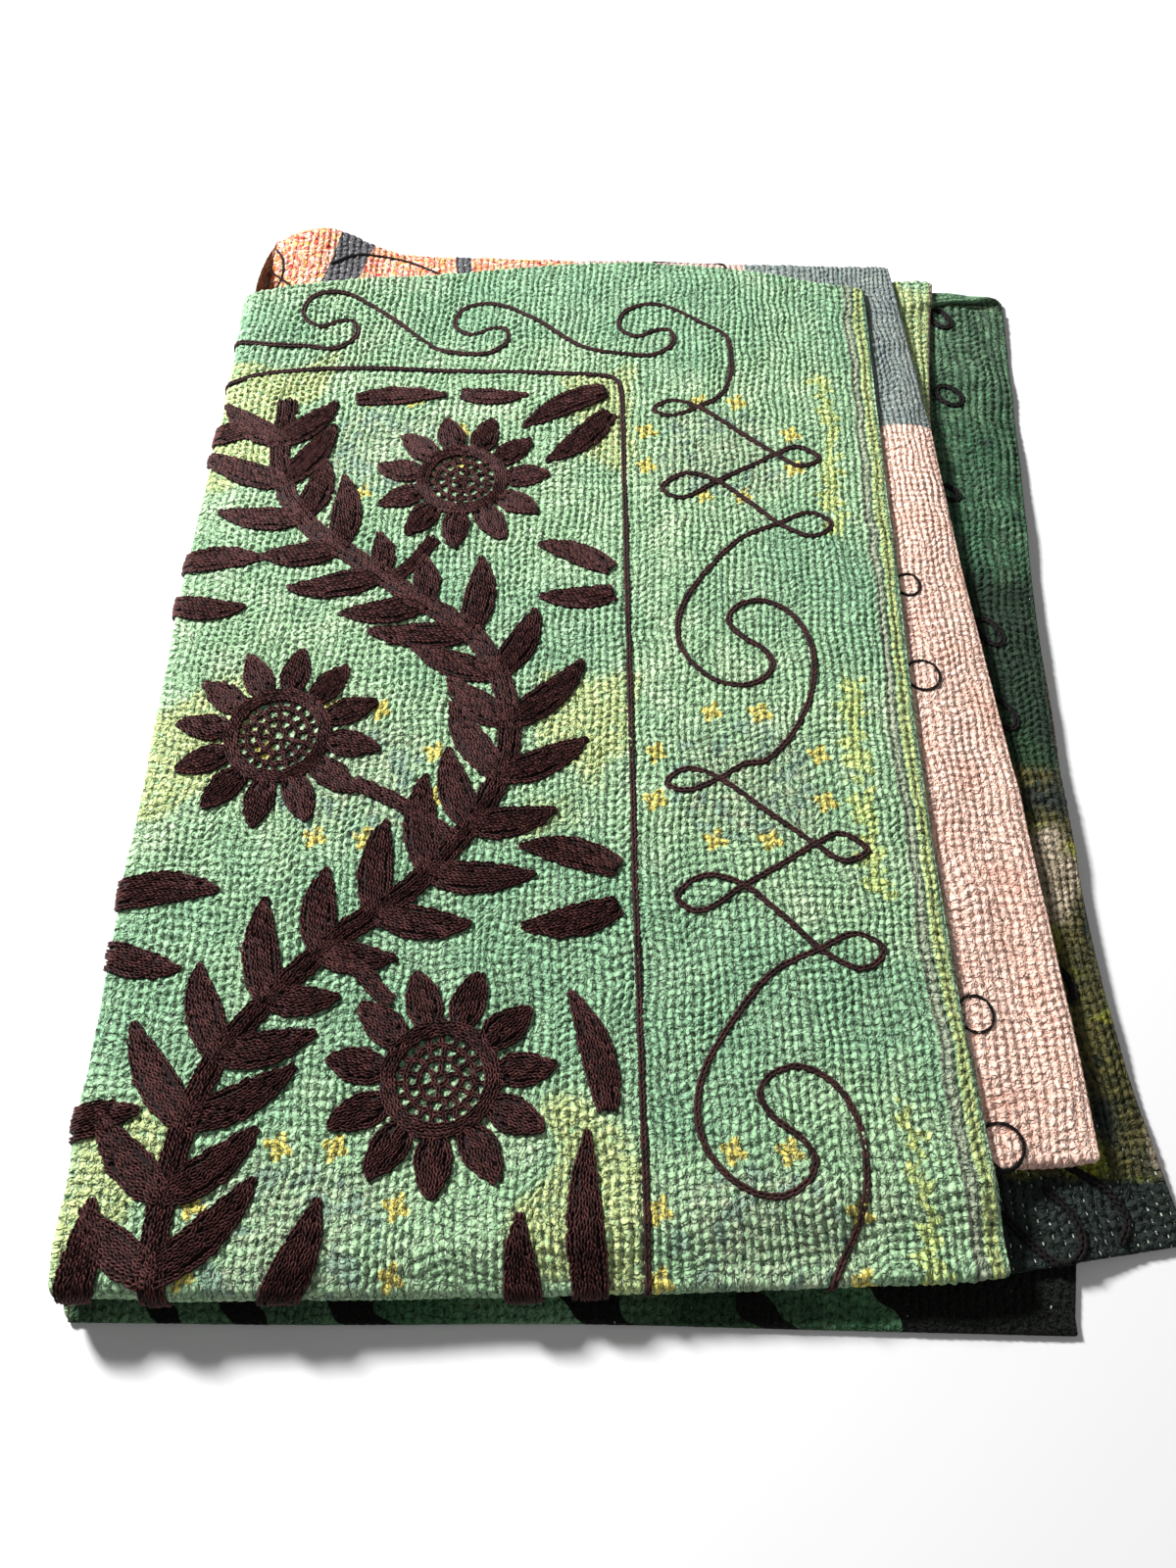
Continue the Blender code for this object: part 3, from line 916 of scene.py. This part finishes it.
def flower_middle(u, v, radius):
    """A flower's middle: a solid rim, and rings and bars inside it with the cloth between."""
    rim = radius * FLOWER_MIDDLE
    links = [ring_links(u, v, rim - k * FILL_ROW, FILL_ROW * 1.15, FILL_BASE) for k in range(3)]
    inner = rim - 2 * FILL_ROW - NET_ROW * 0.9
    while inner > 0.003:
        links.append(ring_links(u, v, inner, FILL_ROW * 1.25, NET_BASE))
        bars = max(int(round(2 * math.pi * (inner + NET_ROW / 2) / NET_ROW)), 4)
        for bar in range(bars):
            angle = 2 * math.pi * (bar + inner * 300) / bars
            ray = np.array([math.cos(angle), math.sin(angle)])
            line = np.array([u, v]) + ray * (inner + NET_ROW * np.array([[0.0], [0.5], [1.0]]))
            links.append(link_list(line, FILL_ROW * 1.1, NET_BASE))
        inner -= NET_ROW
    return np.concatenate(links)


RIM_POINTS = 60
BASE_SUNK = 0.0004  # how far the base's edges lie in the cloth


def field_base(ribbons):
    """The rows below the ones that show: a low crowned band under each shape."""
    shares, rises = np.array(((-1.0, 0.0), (-0.8, 0.85), (0.0, 1.0), (0.8, 0.85), (1.0, 0.0))).T
    places, lifts, quads, first = [], [], [], 0
    shapes = list(ribbons)
    for u, v, radius, _, _ in FLOWERS:
        angle = np.linspace(0.0, 2 * math.pi, RIM_POINTS)[:, None]
        around = (radius * FLOWER_MIDDLE - FILL_ROW) * np.concatenate([np.cos(angle), np.sin(angle)], axis=1)
        shapes.append((np.array([u, v]) + around, np.full(RIM_POINTS, FILL_ROW * 1.5)))
    for line, half in shapes:
        out = half[:, None, None] * shares[:, None] * aside_of(line)[:, None]
        places.append((line[:, None] + out).reshape(-1, 2))
        lifts.append(np.tile(rises, len(line)))
        quads.append(first + grid_quads(len(line), len(shares)).reshape(-1, 4))
        first += len(lifts[-1])
    (u, v), lift = np.concatenate(places).T, np.concatenate(lifts)
    points = surface((FACE, 0), u, v, CLOTH / 2 - BASE_SUNK + (FILL_BASE + 0.0006) * lift)
    # The base takes the thread's darkest colour all over: painted shade down between the links that show.
    return mesh_object("field_base", points, np.concatenate(quads), BROWN_THREAD, {"shade": 0.0 * lift})


def field_motifs():
    """The field's figures: the base, then the links that show, in two pieces."""
    ribbons = field_ribbons()
    for line, half in ribbons:
        stamp((FACE, 0), line, half)
    stems = np.concatenate([ribbon_links(*ribbon) for ribbon in ribbons])
    middles = [flower_middle(*flower[:3]) for flower in FLOWERS]
    for u, v, radius, _, _ in FLOWERS:
        stamp((FACE, 0), [(u, v)], [radius * FLOWER_MIDDLE])
    links = np.concatenate([stems, *middles])
    half_way = len(links) // 2
    made = [field_base(ribbons)]
    for name, part in (("field_motifs_near", links[:half_way]), ("field_motifs_far", links[half_way:])):
        made.append(chain(name, (FACE, 0), part, FILL_LINK, FILL_THICK, BROWN_THREAD, 0.24))
    return made


# ---- cloth pieces
NOWHERE = -0.05  # the distance inside an overlay's edge where a piece has none of it
HEM_TURN = math.pi * HEM_EDGE + 0.002  # how far face cloth goes on past a hem, round it
INNER_FOLD, OUTER_FOLD = 0.5 * PITCH, 1.5 * PITCH  # the radii of the folds at the ends
TOP_WIDE, BACK_WIDE, LOW_WIDE = 0.58, 0.65, 0.70  # about how wide the layers are
TUCKED = 0.045  # how far the reverse's cloth goes in under the top's side hem
EDGE_CELLS = 16.0  # the cells over which the rows stop wandering near a side edge
HIT_DEPTH = 0.36  # the crest value that lies at the cloth's own height


def fixed(at):
    """A straight edge."""
    return lambda place: at + 0.0 * place


def side_edge(layer):
    """A right edge, round a layer's side hem."""
    return lambda v: side_hem(layer, v) + HEM_TURN


def tucked_edge(v):
    return side_hem((FACE, 0), v) - TUCKED


def end_edge(layer, which, on, wide=BACK_WIDE):
    """A near or far edge, on from where a layer's run starts (0) or ends (1)."""
    return lambda u: end_line(layer, np.clip(u / wide, 0.0, 1.0), which) + on


def skin_grid(layer, left, right, near, far, seed, sewn, quiet=lambda u, v: 1.0):
    """The face cloth of a stretch of a layer: its points, their u and v, and the values that
    its material reads. left and right are functions of v, near and far of u. sewn says how
    much of the stitching shows, and quiet how much of the relief there is."""
    v_mid, u_mid = (near(0.3) + far(0.3)) / 2, (left(0.4) + right(0.4)) / 2
    columns = int(round((right(v_mid) - left(v_mid)) / ROW * CELLS_A_ROW)) + 1
    count = int(round((far(u_mid) - near(u_mid)) / CELL_ALONG)) + 1
    col, row = np.meshgrid(np.arange(columns), np.arange(count))
    across, along = col / (columns - 1), row / (count - 1)
    v = near(u_mid) + along * (far(u_mid) - near(u_mid))
    for _ in range(3):
        u = left(v) + across * (right(v) - left(v))
        v = near(u) + along * (far(u) - near(u))
    rows = col / CELLS_A_ROW
    inset = smooth(np.minimum(col, columns - 1 - col) / EDGE_CELLS)
    wander = sum(reach * (noise(u, v, size, seed + 5) - 0.5) for size, reach in ROW_WANDER)
    drift = sum(ahead * noise(u, v * DRIFT_STRETCH, size, seed + 2) for size, ahead in DRIFTS)
    crest = pucker(rows, v, drift, seed + 9)
    hem = side_hem(layer, v) - u
    under_chain = stitched(layer, u, v)
    relief = quiet(u, v) * (1 - 0.85 * under_chain)
    calm = 0.45 + 0.55 * smooth(np.abs(hem) / 0.008)
    lift = CLOTH / 2 + RELIEF * (crest * calm - HIT_DEPTH) * relief
    values = {
        "rows": rows,
        "across": u,
        "along": v,
        # the crest also sets the painted shade in the creases, in the materials
        "crest": crest * relief + 0.5 * (1 - relief),
        "drift": drift,
        "sewn": sewn(u, v) * (1 - under_chain),
        "plain": np.zeros(u.shape),
        "hem": hem,
    }
    return surface(layer, u + inset * wander, v, lift), u, v, values


def cloth_piece(name, material, paint, layer, **stretch):
    """A piece of face cloth. paint adds the print's values."""
    points, u, v, values = skin_grid(layer, **stretch)
    paint(values, u, v)
    return mesh_object(name, points, grid_quads(*u.shape), material, values)


def leave_out(values, *labels):
    for label in labels:
        values[label] = np.full(values["along"].shape, NOWHERE)


def box_inside(u, v, at, half):
    """The distance inside a rectangle's edge."""
    return np.minimum(half[0] - np.abs(u - at[0]), half[1] - np.abs(v - at[1]))


def repeated(place, start, step):
    """A place's distance past the middle of its repeat."""
    return np.mod(place - start + step / 2, step) - step / 2


PRINT_START, PRINT_STEP = 0.035, 0.328  # the print's repeat along the cloth
PRINT_ACROSS = 0.290
LIME_AT, LIME_TO, WREATH_AT = 0.035, 0.40, 0.435
BAND_TOOTH = 0.0165
BLOOMS = (
    # across and along, from the middle of a wreath
    (-0.018, 0.058), (0.018, 0.058), (-0.018, -0.050), (0.018, -0.050),
    (-0.064, 0.022), (-0.064, -0.018), (0.062, 0.022), (0.062, -0.018),
)


def green_print(values, u, v):
    """The print of the face: lime blocks, wreaths of small flowers, a jagged band and the
    stripes beside the hem. Each value is a distance inside a shape's edge."""
    repeat = repeated(v, PRINT_START, PRINT_STEP)
    lime = box_inside(repeated(u, LIME_AT, PRINT_ACROSS), repeat, (0.0, 0.030), (0.056, 0.084))
    values["lime"] = np.where(u < LIME_TO, lime, NOWHERE) - 0.055 * noise(u, v, 0.045, 61)
    clouds = -np.cos(2 * math.pi * repeat / PRINT_STEP) - 0.2
    values["teal"] = 0.06 * (noise(u, v, 0.10, 62) - 0.56) + 0.02 * clouds
    wreath = repeated(u, WREATH_AT, PRINT_ACROSS)
    bloom = np.full(u.shape, -0.02)
    for at_u, at_v in BLOOMS:
        du, dv = wreath - at_u, repeat - at_v
        petals = 0.40 + 0.60 * np.abs(np.cos(2 * np.arctan2(dv, du) + 0.7))
        bloom = np.maximum(bloom, 0.0098 * petals - np.hypot(du, dv))
    values["bloom"] = bloom
    ring = 0.016 - np.abs(np.hypot(wreath, repeat * 1.1) - 0.040)
    values["ink"] = np.minimum(ring, 0.02 * (noise(u, v, 0.007, 66) - 0.6))
    patch = box_inside(wreath, repeat, (0.0, 0.0), (0.060, 0.055))
    values["dusty"] = patch - 0.03 * noise(u, v, 0.03, 63)
    hem = values["hem"]
    tooth = np.abs(np.mod(v / BAND_TOOTH, 1.0) * 2 - 1)
    wave = 0.008 * (tooth - 0.5) + 0.008 * (noise(u, v, 0.010, 64) - 0.5)
    band = np.minimum(0.0145 - np.abs(hem - 0.0455 - wave), 0.100 - np.abs(repeat))
    values["band"] = band - 0.016 * noise(u, v, 0.0055, 65)
    values["grey_stripe"] = 0.0044 - np.abs(hem - 0.0158)
    values["gold_stripe"] = 0.0042 - np.abs(hem - 0.0060)
    leave_out(values, "edge")


def third_print(values, u, v):
    green_print(values, u, v)
    values["lime"] = 0.030 - 0.050 * noise(u, v, 0.03, 42)
    leave_out(values, "dusty", "band", "grey_stripe", "gold_stripe", "teal")
    values["edge"] = 0.0017 - np.abs(values["hem"] + 0.0010)


SEAM_AT, LOBE_AT = 0.729, 0.800  # where the pink patch ends at the side, and at the far end
CORAL_TO, BLUSH_TO = 0.300, 0.470  # where the patches of the far end stop, across


def far_patches(values, u, v):
    """The reverse's patches, with the seams between them."""
    lobe = v - LOBE_AT
    values["slate"] = np.minimum(v - SEAM_AT + 0.002 * np.sin(u * 60), u - BLUSH_TO)
    values["blush"] = np.minimum(lobe, np.minimum(BLUSH_TO - u, u - CORAL_TO))
    values["coral"] = np.minimum(lobe, CORAL_TO - u)
    bars = np.maximum(0.016 - np.abs(u - 0.092 + 0.25 * (0.958 - v)), 0.008 - np.abs(u - 0.198))
    values["coal"] = np.minimum(lobe, bars)


def lower_print(values, u, v):
    values["pale"] = v - 0.79 + 0.5 * (u - 0.68)
    values["deep"] = 0.60 - v + 0.10 * (noise(u, v, 0.06, 70) - 0.5)
    values["khaki"] = 0.40 - v + 0.10 * (noise(u, v, 0.06, 71) - 0.5)
    values["spots"] = np.minimum(0.020 * (noise(u, v, 0.016, 72) - 0.72), 0.34 - v)
    near_patch = 0.022 - np.hypot(u - 0.715, (v - 0.105) * 0.8)
    values["beige"] = np.maximum(near_patch, 0.020 - np.hypot(u - 0.660, (v - 0.300) * 0.5))
    lumps = 0.016 * (noise(u, v, 0.030, 73) - 0.70) * (v < 0.45)
    values["slate"] = np.maximum(0.085 - v, lumps)
    leave_out(values, "black_motif")


def corner_print(values, u, v):
    values["pale"] = np.full(u.shape, 0.08)
    leave_out(values, "deep", "khaki", "spots", "beige", "slate", "black_motif")


STRIP_BLACKS = (
    # where a slanting embroidered figure of the near strip is, and its half width. It is drawn near-black:
    # dark thread with painted shade on it
    (0.062, 0.003), (0.112, 0.003), (0.184, 0.018), (0.336, 0.016), (0.440, 0.010), (0.600, 0.085),
)


def near_print(values, u, v):
    leave_out(values, "khaki", "spots", "beige", "slate")
    values["pale"] = 0.04 + 0.30 * (noise(u, v, 0.05, 76) - 0.5)
    values["deep"] = 0.10 * (noise(u, v, 0.05, 74) - 0.6)
    # the figures are drawn near-black: dark thread with painted shade
    black = np.max([half - np.abs(u + 0.8 * v - at) for at, half in STRIP_BLACKS], axis=0)
    values["black_motif"] = black + 0.020 * (noise(u, v, 0.016, 75) - 0.5)


def top_cloth():
    """The top layer's face, round its near and left folds and its hems, in two pieces that
    meet under the frame line."""
    layer = (FACE, 0)
    points, u, v, values = skin_grid(
        layer,
        left=lambda v: left_of(0, v) - LEFT_ROUND,
        right=side_edge(layer),
        near=end_edge(layer, 1, -math.pi * OUTER_FOLD - 0.008, TOP_WIDE),
        far=end_edge(layer, 0, HEM_TURN, TOP_WIDE),
        seed=11,
        sewn=lambda u, v: 0.15 + 0.60 * smooth((0.20 - v) / 0.16),
        quiet=lambda u, v: (0.30 + 0.70 * smooth((v - 0.006) / 0.022))
        * (0.40 + 0.60 * smooth((u - 0.002) / 0.016)),
    )
    green_print(values, u, v)
    quads = grid_quads(*u.shape)
    u, v = u[:-1, :-1], v[:-1, :-1]
    corner_u, corner_v = FRAME_CORNER
    frame_at = corner_u + (FRAME_NEAR - corner_u) * smooth((corner_v - v) / corner_v)
    inside = (u < frame_at) & (v < corner_v)
    return [
        mesh_object(name, points, quads[cells], GREEN_PRINT, values)
        for name, cells in (("top_field_cloth", inside), ("top_border_cloth", ~inside))
    ]


def lower_cloths():
    """The face cloth of the strips that show past the top layer, from the top down."""
    reverse, third, lower, corner, near = (BACK, 0), (BACK, 1), (FACE, 2), (FACE, 1), (BACK, 2)
    lower_end = end_edge(lower, 1, 0.0, LOW_WIDE)
    return [
        cloth_piece(
            "reverse_side_cloth", REVERSE, far_patches, reverse, seed=31,
            left=tucked_edge,
            right=side_edge(reverse),
            near=end_edge(reverse, 1, -math.pi * INNER_FOLD - 0.012),
            far=end_edge(reverse, 0, HEM_TURN),
            sewn=lambda u, v: 0.15 + 0.7 * smooth((v - SEAM_AT) / 0.01),
            quiet=lambda u, v: 0.80,
        ),
        cloth_piece(
            "reverse_far_cloth", REVERSE, far_patches, reverse, seed=37,
            left=lambda v: left_of(0, v) - 0.003,
            right=tucked_edge,
            near=end_edge((FACE, 0), 0, -0.060, TOP_WIDE),
            far=end_edge(reverse, 0, HEM_TURN),
            sewn=lambda u, v: 0.5,
            quiet=lambda u, v: 0.75,
        ),
        cloth_piece(
            "third_strip_cloth", GREEN_PRINT, third_print, third, seed=41,
            left=fixed(0.560),
            right=side_edge(third),
            near=fixed(0.100),
            far=end_edge(third, 1, 2.0 * OUTER_FOLD),
            sewn=lambda u, v: 0.4,
        ),
        cloth_piece(
            "lower_strip_cloth", DARK_PRINT, lower_print, lower, seed=51,
            left=fixed(0.545),
            right=side_edge(lower),
            near=end_edge(lower, 1, -HEM_TURN, LOW_WIDE),
            far=fixed(0.905),
            sewn=lambda u, v: 0.6 * smooth((0.13 - v) / 0.04),
            quiet=lambda u, v: 0.35 + 0.65 * smooth((v - lower_end(u)) / 0.020),
        ),
        cloth_piece(
            "far_corner_cloth", DARK_PRINT, corner_print, corner, seed=57,
            left=fixed(0.586),
            right=side_edge(corner),
            near=fixed(0.858),
            far=end_edge(corner, 1, math.pi * INNER_FOLD + 0.006, 0.72),
            sewn=lambda u, v: 0.1,
            quiet=lambda u, v: 0.25,
        ),
        cloth_piece(
            "near_strip_cloth", DARK_PRINT, near_print, near, seed=55,
            left=fixed(0.004),
            right=side_edge(near),
            near=end_edge(near, 1, -HEM_TURN),
            far=fixed(0.050),
            sewn=lambda u, v: 0.0,
            quiet=lambda u, v: 0.35,
        ),
    ]


# ---- the whole sheet under them
THIN_SHARE = 0.74  # how much thinner the sheet is where a finer piece lies on it
FOLD_LONG = 0.009  # the cloth that a fold takes up, for each radian
TURN_CELLS, ALONG_CELLS, ACROSS_CELLS = 8, 46, 40


def covered(layer, share, y):
    """Whether a finer piece covers the sheet there, from 0 to 1."""
    u = across_of(layer, share, y)
    top_hem = side_hem((FACE, 0), y)
    past = {
        (FACE, 0): 1.0 + 0.0 * u,
        (BACK, 0): np.maximum(u - top_hem + 0.030, y - end_line((FACE, 0), share, 0) + 0.045),
        (BACK, 1): u - 0.575,
        (FACE, 1): np.minimum(u - 0.600, y - 0.870),
        (FACE, 2): u - 0.560,
        (BACK, 2): 0.040 - y,
    }[layer]
    return smooth(past / 0.012)


def whole_sheet():
    """The folded sheet itself: the batting and all the cloth that the other pieces leave."""
    rows = []
    turns = np.linspace(0.0, math.pi, TURN_CELLS + 1)[1:-1]
    for run in range(3):
        rows += [(run, part, 0.0) for part in np.linspace(0.0, 1.0, ALONG_CELLS + 1)]
        if run < 2:
            rows += [(run, 1.0, turn) for turn in turns]
    shares = np.linspace(0.0, 1.0, ACROSS_CELLS + 1)
    lines, alongs, thins = [], [], []
    behind = 0.0
    for run, part, turn in rows:
        halves, thin = [], []
        for half in (FACE, BACK):
            layer = (half, run)
            start, end = end_line(layer, shares, 0), end_line(layer, shares, 1)
            y = start + part * (end - start)
            points = on_run(layer, shares, y, turn + 0.0 * shares, 0.0)
            points[:, 2] += wave_of(layer, points[:, 0], points[:, 1]) * math.cos(turn)
            halves.append(points)
            thin.append(covered(layer, shares, y))
        face, back = halves
        radius = abs(face[0, 2] - back[0, 2]) / 2 if turn == 0 else PITCH / 2
        mix = ((1 - np.cos(turns)) / 2)[:, None]
        fold = face[0] + mix * (back[0] - face[0])
        fold[:, 0] -= radius * np.sin(turns)
        lines.append(np.concatenate([face[::-1], fold, back]))
        thins.append(np.concatenate([thin[0][::-1], np.full(len(turns), thin[0][0]), thin[1]]))
        alongs.append((run + part) * LENGTH + turn * FOLD_LONG + behind)
        if turn == 0 and part == 1.0:
            behind += math.pi * FOLD_LONG
    points = np.array(lines)
    along = np.repeat(np.array(alongs)[:, None], points.shape[1], axis=1)
    steps = np.linalg.norm(np.diff(points, axis=1), axis=2)
    across = np.concatenate([np.zeros((len(points), 1)), np.cumsum(steps, axis=1)], axis=1)
    none = 0.0 * along
    values = {
        "rows": across / ROW,
        "across": across,
        "along": along,
        "crest": none + 0.6,
        "sewn": none + 0.3,
        "plain": none + 1.0,
        "drift": none,
        "lime": 0.02 * (noise(across, along, 0.12, 81) - 0.7),
        "teal": 0.05 * (noise(across, along, 0.1, 82) - 0.6),
        "slate": 0.6 * (noise(across, along, 0.45, 83) - 0.62),
        "coral": np.maximum(0.6 * (noise(across, along, 0.40, 84) - 0.70), 0.140 - along),
    }
    leave_out(values, "dusty", "band", "bloom", "ink", "grey_stripe", "gold_stripe", "edge", "blush", "coal")
    quads = grid_quads(*along.shape)
    piece = mesh_object("quilt_cloth", CORNER + points, quads.reshape(-1, 4), GREEN_PRINT, values)
    piece.data.materials.append(REVERSE)
    group = piece.vertex_groups.new(name="thick")
    for vertex, share in enumerate(1 - np.array(thins).ravel() * THIN_SHARE):
        group.add([vertex], float(share), "REPLACE")
    cloth = piece.modifiers.new("cloth", "SOLIDIFY")
    cloth.vertex_group = group.name
    cloth.thickness = CLOTH - 0.0002
    cloth.offset = 0.0
    cloth.material_offset = 1
    cloth.material_offset_rim = 0
    return piece


# ---- loops on the lower layers
REVERSE_LOOPS = (
    # u, v, radius across, radius along: thin loops that the top's stitching leaves on the reverse
    (0.583, 0.551, 0.0098, 0.011), (0.584, 0.462, 0.0135, 0.014),
    (0.586, 0.187, 0.012, 0.013), (0.590, 0.100, 0.0145, 0.014),
)
REVERSE_LINES = (
    # the points of thin lines on the reverse's far corner and along its slate patch
    ((0.010, 0.950), (0.024, 0.930), (0.024, 0.905), (0.008, 0.872)),
    ((0.012, 0.918), (0.030, 0.903), (0.046, 0.890)),
    ((0.070, 0.925), (0.100, 0.943), (0.140, 0.941), (0.176, 0.922)),
    ((0.380, 0.944), (0.420, 0.946), (0.445, 0.944), (0.452, 0.934)),
    ((0.556, 0.868), (0.560, 0.850), (0.562, 0.832)),
)
STRIP_LOOPS = (
    # u, v, radius across, radius along
    (0.657, 0.887, 0.0085, 0.012), (0.652, 0.785, 0.0110, 0.012), (0.636, 0.666, 0.0080, 0.009),
    (0.649, 0.516, 0.0090, 0.013), (0.647, 0.438, 0.0100, 0.014), (0.652, 0.217, 0.0090, 0.014),
)
STRIP_LEAN = -0.35  # how the lower strip's loops lean
STRIP_LINES = (
    # the points of the lines at the lower strip's near end
    (
        (0.588, 0.062), (0.606, 0.042), (0.622, 0.030), (0.634, 0.036), (0.638, 0.047), (0.633, 0.063),
        (0.619, 0.076),
    ),
    ((0.630, 0.094), (0.645, 0.086), (0.660, 0.076), (0.669, 0.058), (0.662, 0.044)),
)
LOOP_STEP, LOOP_WIDE, LOOP_THICK = 0.0030, 0.0024, 0.0011
STRIP_WIDE, STRIP_THICK = 1.16 * CHAIN_WIDE, 0.0022
LOOP_LEAST = 8  # links round the smallest loop


def lower_loops():
    """The loops and lines on the second layer and on the lower strip."""
    thin_lines = [(oval(*row, LOOP_STEP, LOOP_LEAST), True) for row in REVERSE_LOOPS]
    thin_lines += [(path(points, LOOP_STEP)[0], False) for points in REVERSE_LINES]
    thick_lines = [(oval(*row, CHAIN, LOOP_LEAST, STRIP_LEAN), True) for row in STRIP_LOOPS]
    thick_lines += [(path(points, CHAIN)[0], False) for points in STRIP_LINES]
    made = []
    for name, layer, lines, wide, thick in (
        ("reverse_loops", (BACK, 0), thin_lines, LOOP_WIDE, LOOP_THICK),
        ("strip_loops", (FACE, 2), thick_lines, STRIP_WIDE, STRIP_THICK),
    ):
        for line, _ in lines:
            stamp(layer, line, np.full(len(line), wide * LINE_HALF))
        links = np.concatenate([link_list(line, wide, LOOP_BASE, closed=closed) for line, closed in lines])
        made.append(chain(name, layer, links, LINE_LINK, thick, BLACK_THREAD, 0.03))
    return made


# ---- stage
CAMERA_AT = np.array([0.32688, -0.08180, 0.82519]) + CORNER
CAMERA_DOWN, CAMERA_LEFT = 60.913, 0.546  # degrees
FOCAL_PIXELS, FRAME_HIGH = 1250.0, 1600.0  # the photo's focal length and height
SENSOR_HIGH = 24.0  # millimetres
FLOOR_HALF, FLOOR_DROP = 8.0, 0.0003
LIGHTS = (
    # name, place, size, power: each aims at the quilt's middle
    ("key", (-1.7, 1.3, 1.45), 0.45, 166.0),
    ("fill", (1.4, -1.2, 1.6), 1.6, 5.0),
)
WORLD_LIGHT = 0.15


def camera():
    data = bpy.data.cameras.new("camera")
    data.sensor_fit = "VERTICAL"
    data.sensor_height = SENSOR_HIGH
    data.lens = FOCAL_PIXELS / FRAME_HIGH * SENSOR_HIGH
    data.clip_start = 0.01
    made = bpy.data.objects.new("camera", data)
    made.location = CAMERA_AT
    made.rotation_euler = (math.radians(90 - CAMERA_DOWN), 0.0, math.radians(CAMERA_LEFT))
    bpy.context.scene.collection.objects.link(made)
    bpy.context.scene.camera = made


def light(name, at, size, power):
    data = bpy.data.lights.new(name, "AREA")
    data.size = size
    data.energy = power
    made = bpy.data.objects.new(name, data)
    made.location = at
    made.rotation_euler = (math.atan2(math.hypot(at[0], at[1]), at[2]), 0.0, math.atan2(at[0], -at[1]))
    bpy.context.scene.collection.objects.link(made)


def stage():
    mesh = bpy.data.meshes.new("floor")
    corners = [(x * FLOOR_HALF, y * FLOOR_HALF, 0) for x, y in ((-1, -1), (1, -1), (1, 1), (-1, 1))]
    mesh.from_pydata(corners, [], [(0, 1, 2, 3)])
    floor = bpy.data.objects.new("floor", mesh)
    floor.location.z = -FLOOR_DROP
    made = bpy.data.materials.new("pale_floor")
    made.use_nodes = True
    shader = made.node_tree.nodes["Principled BSDF"]
    shader.inputs["Base Color"].default_value = srgb(240, 240, 240)
    shader.inputs["Roughness"].default_value = 0.9
    mesh.materials.append(made)
    bpy.context.scene.collection.objects.link(floor)
    for row in LIGHTS:
        light(*row)
    world = bpy.data.worlds.new("world")
    world.use_nodes = True
    sky = world.node_tree.nodes["Background"]
    sky.inputs["Color"].default_value = (1.0, 1.0, 1.0, 1.0)
    sky.inputs["Strength"].default_value = WORLD_LIGHT
    bpy.context.scene.world = world
    bpy.context.scene.view_settings.view_transform = "Standard"


# ---- all of it
camera()
stage()
motifs = field_motifs()
lines = border_lines()
loops = lower_loops()
skins = [*top_cloth(), *lower_cloths()]
cloth = whole_sheet()
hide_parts("quilt")
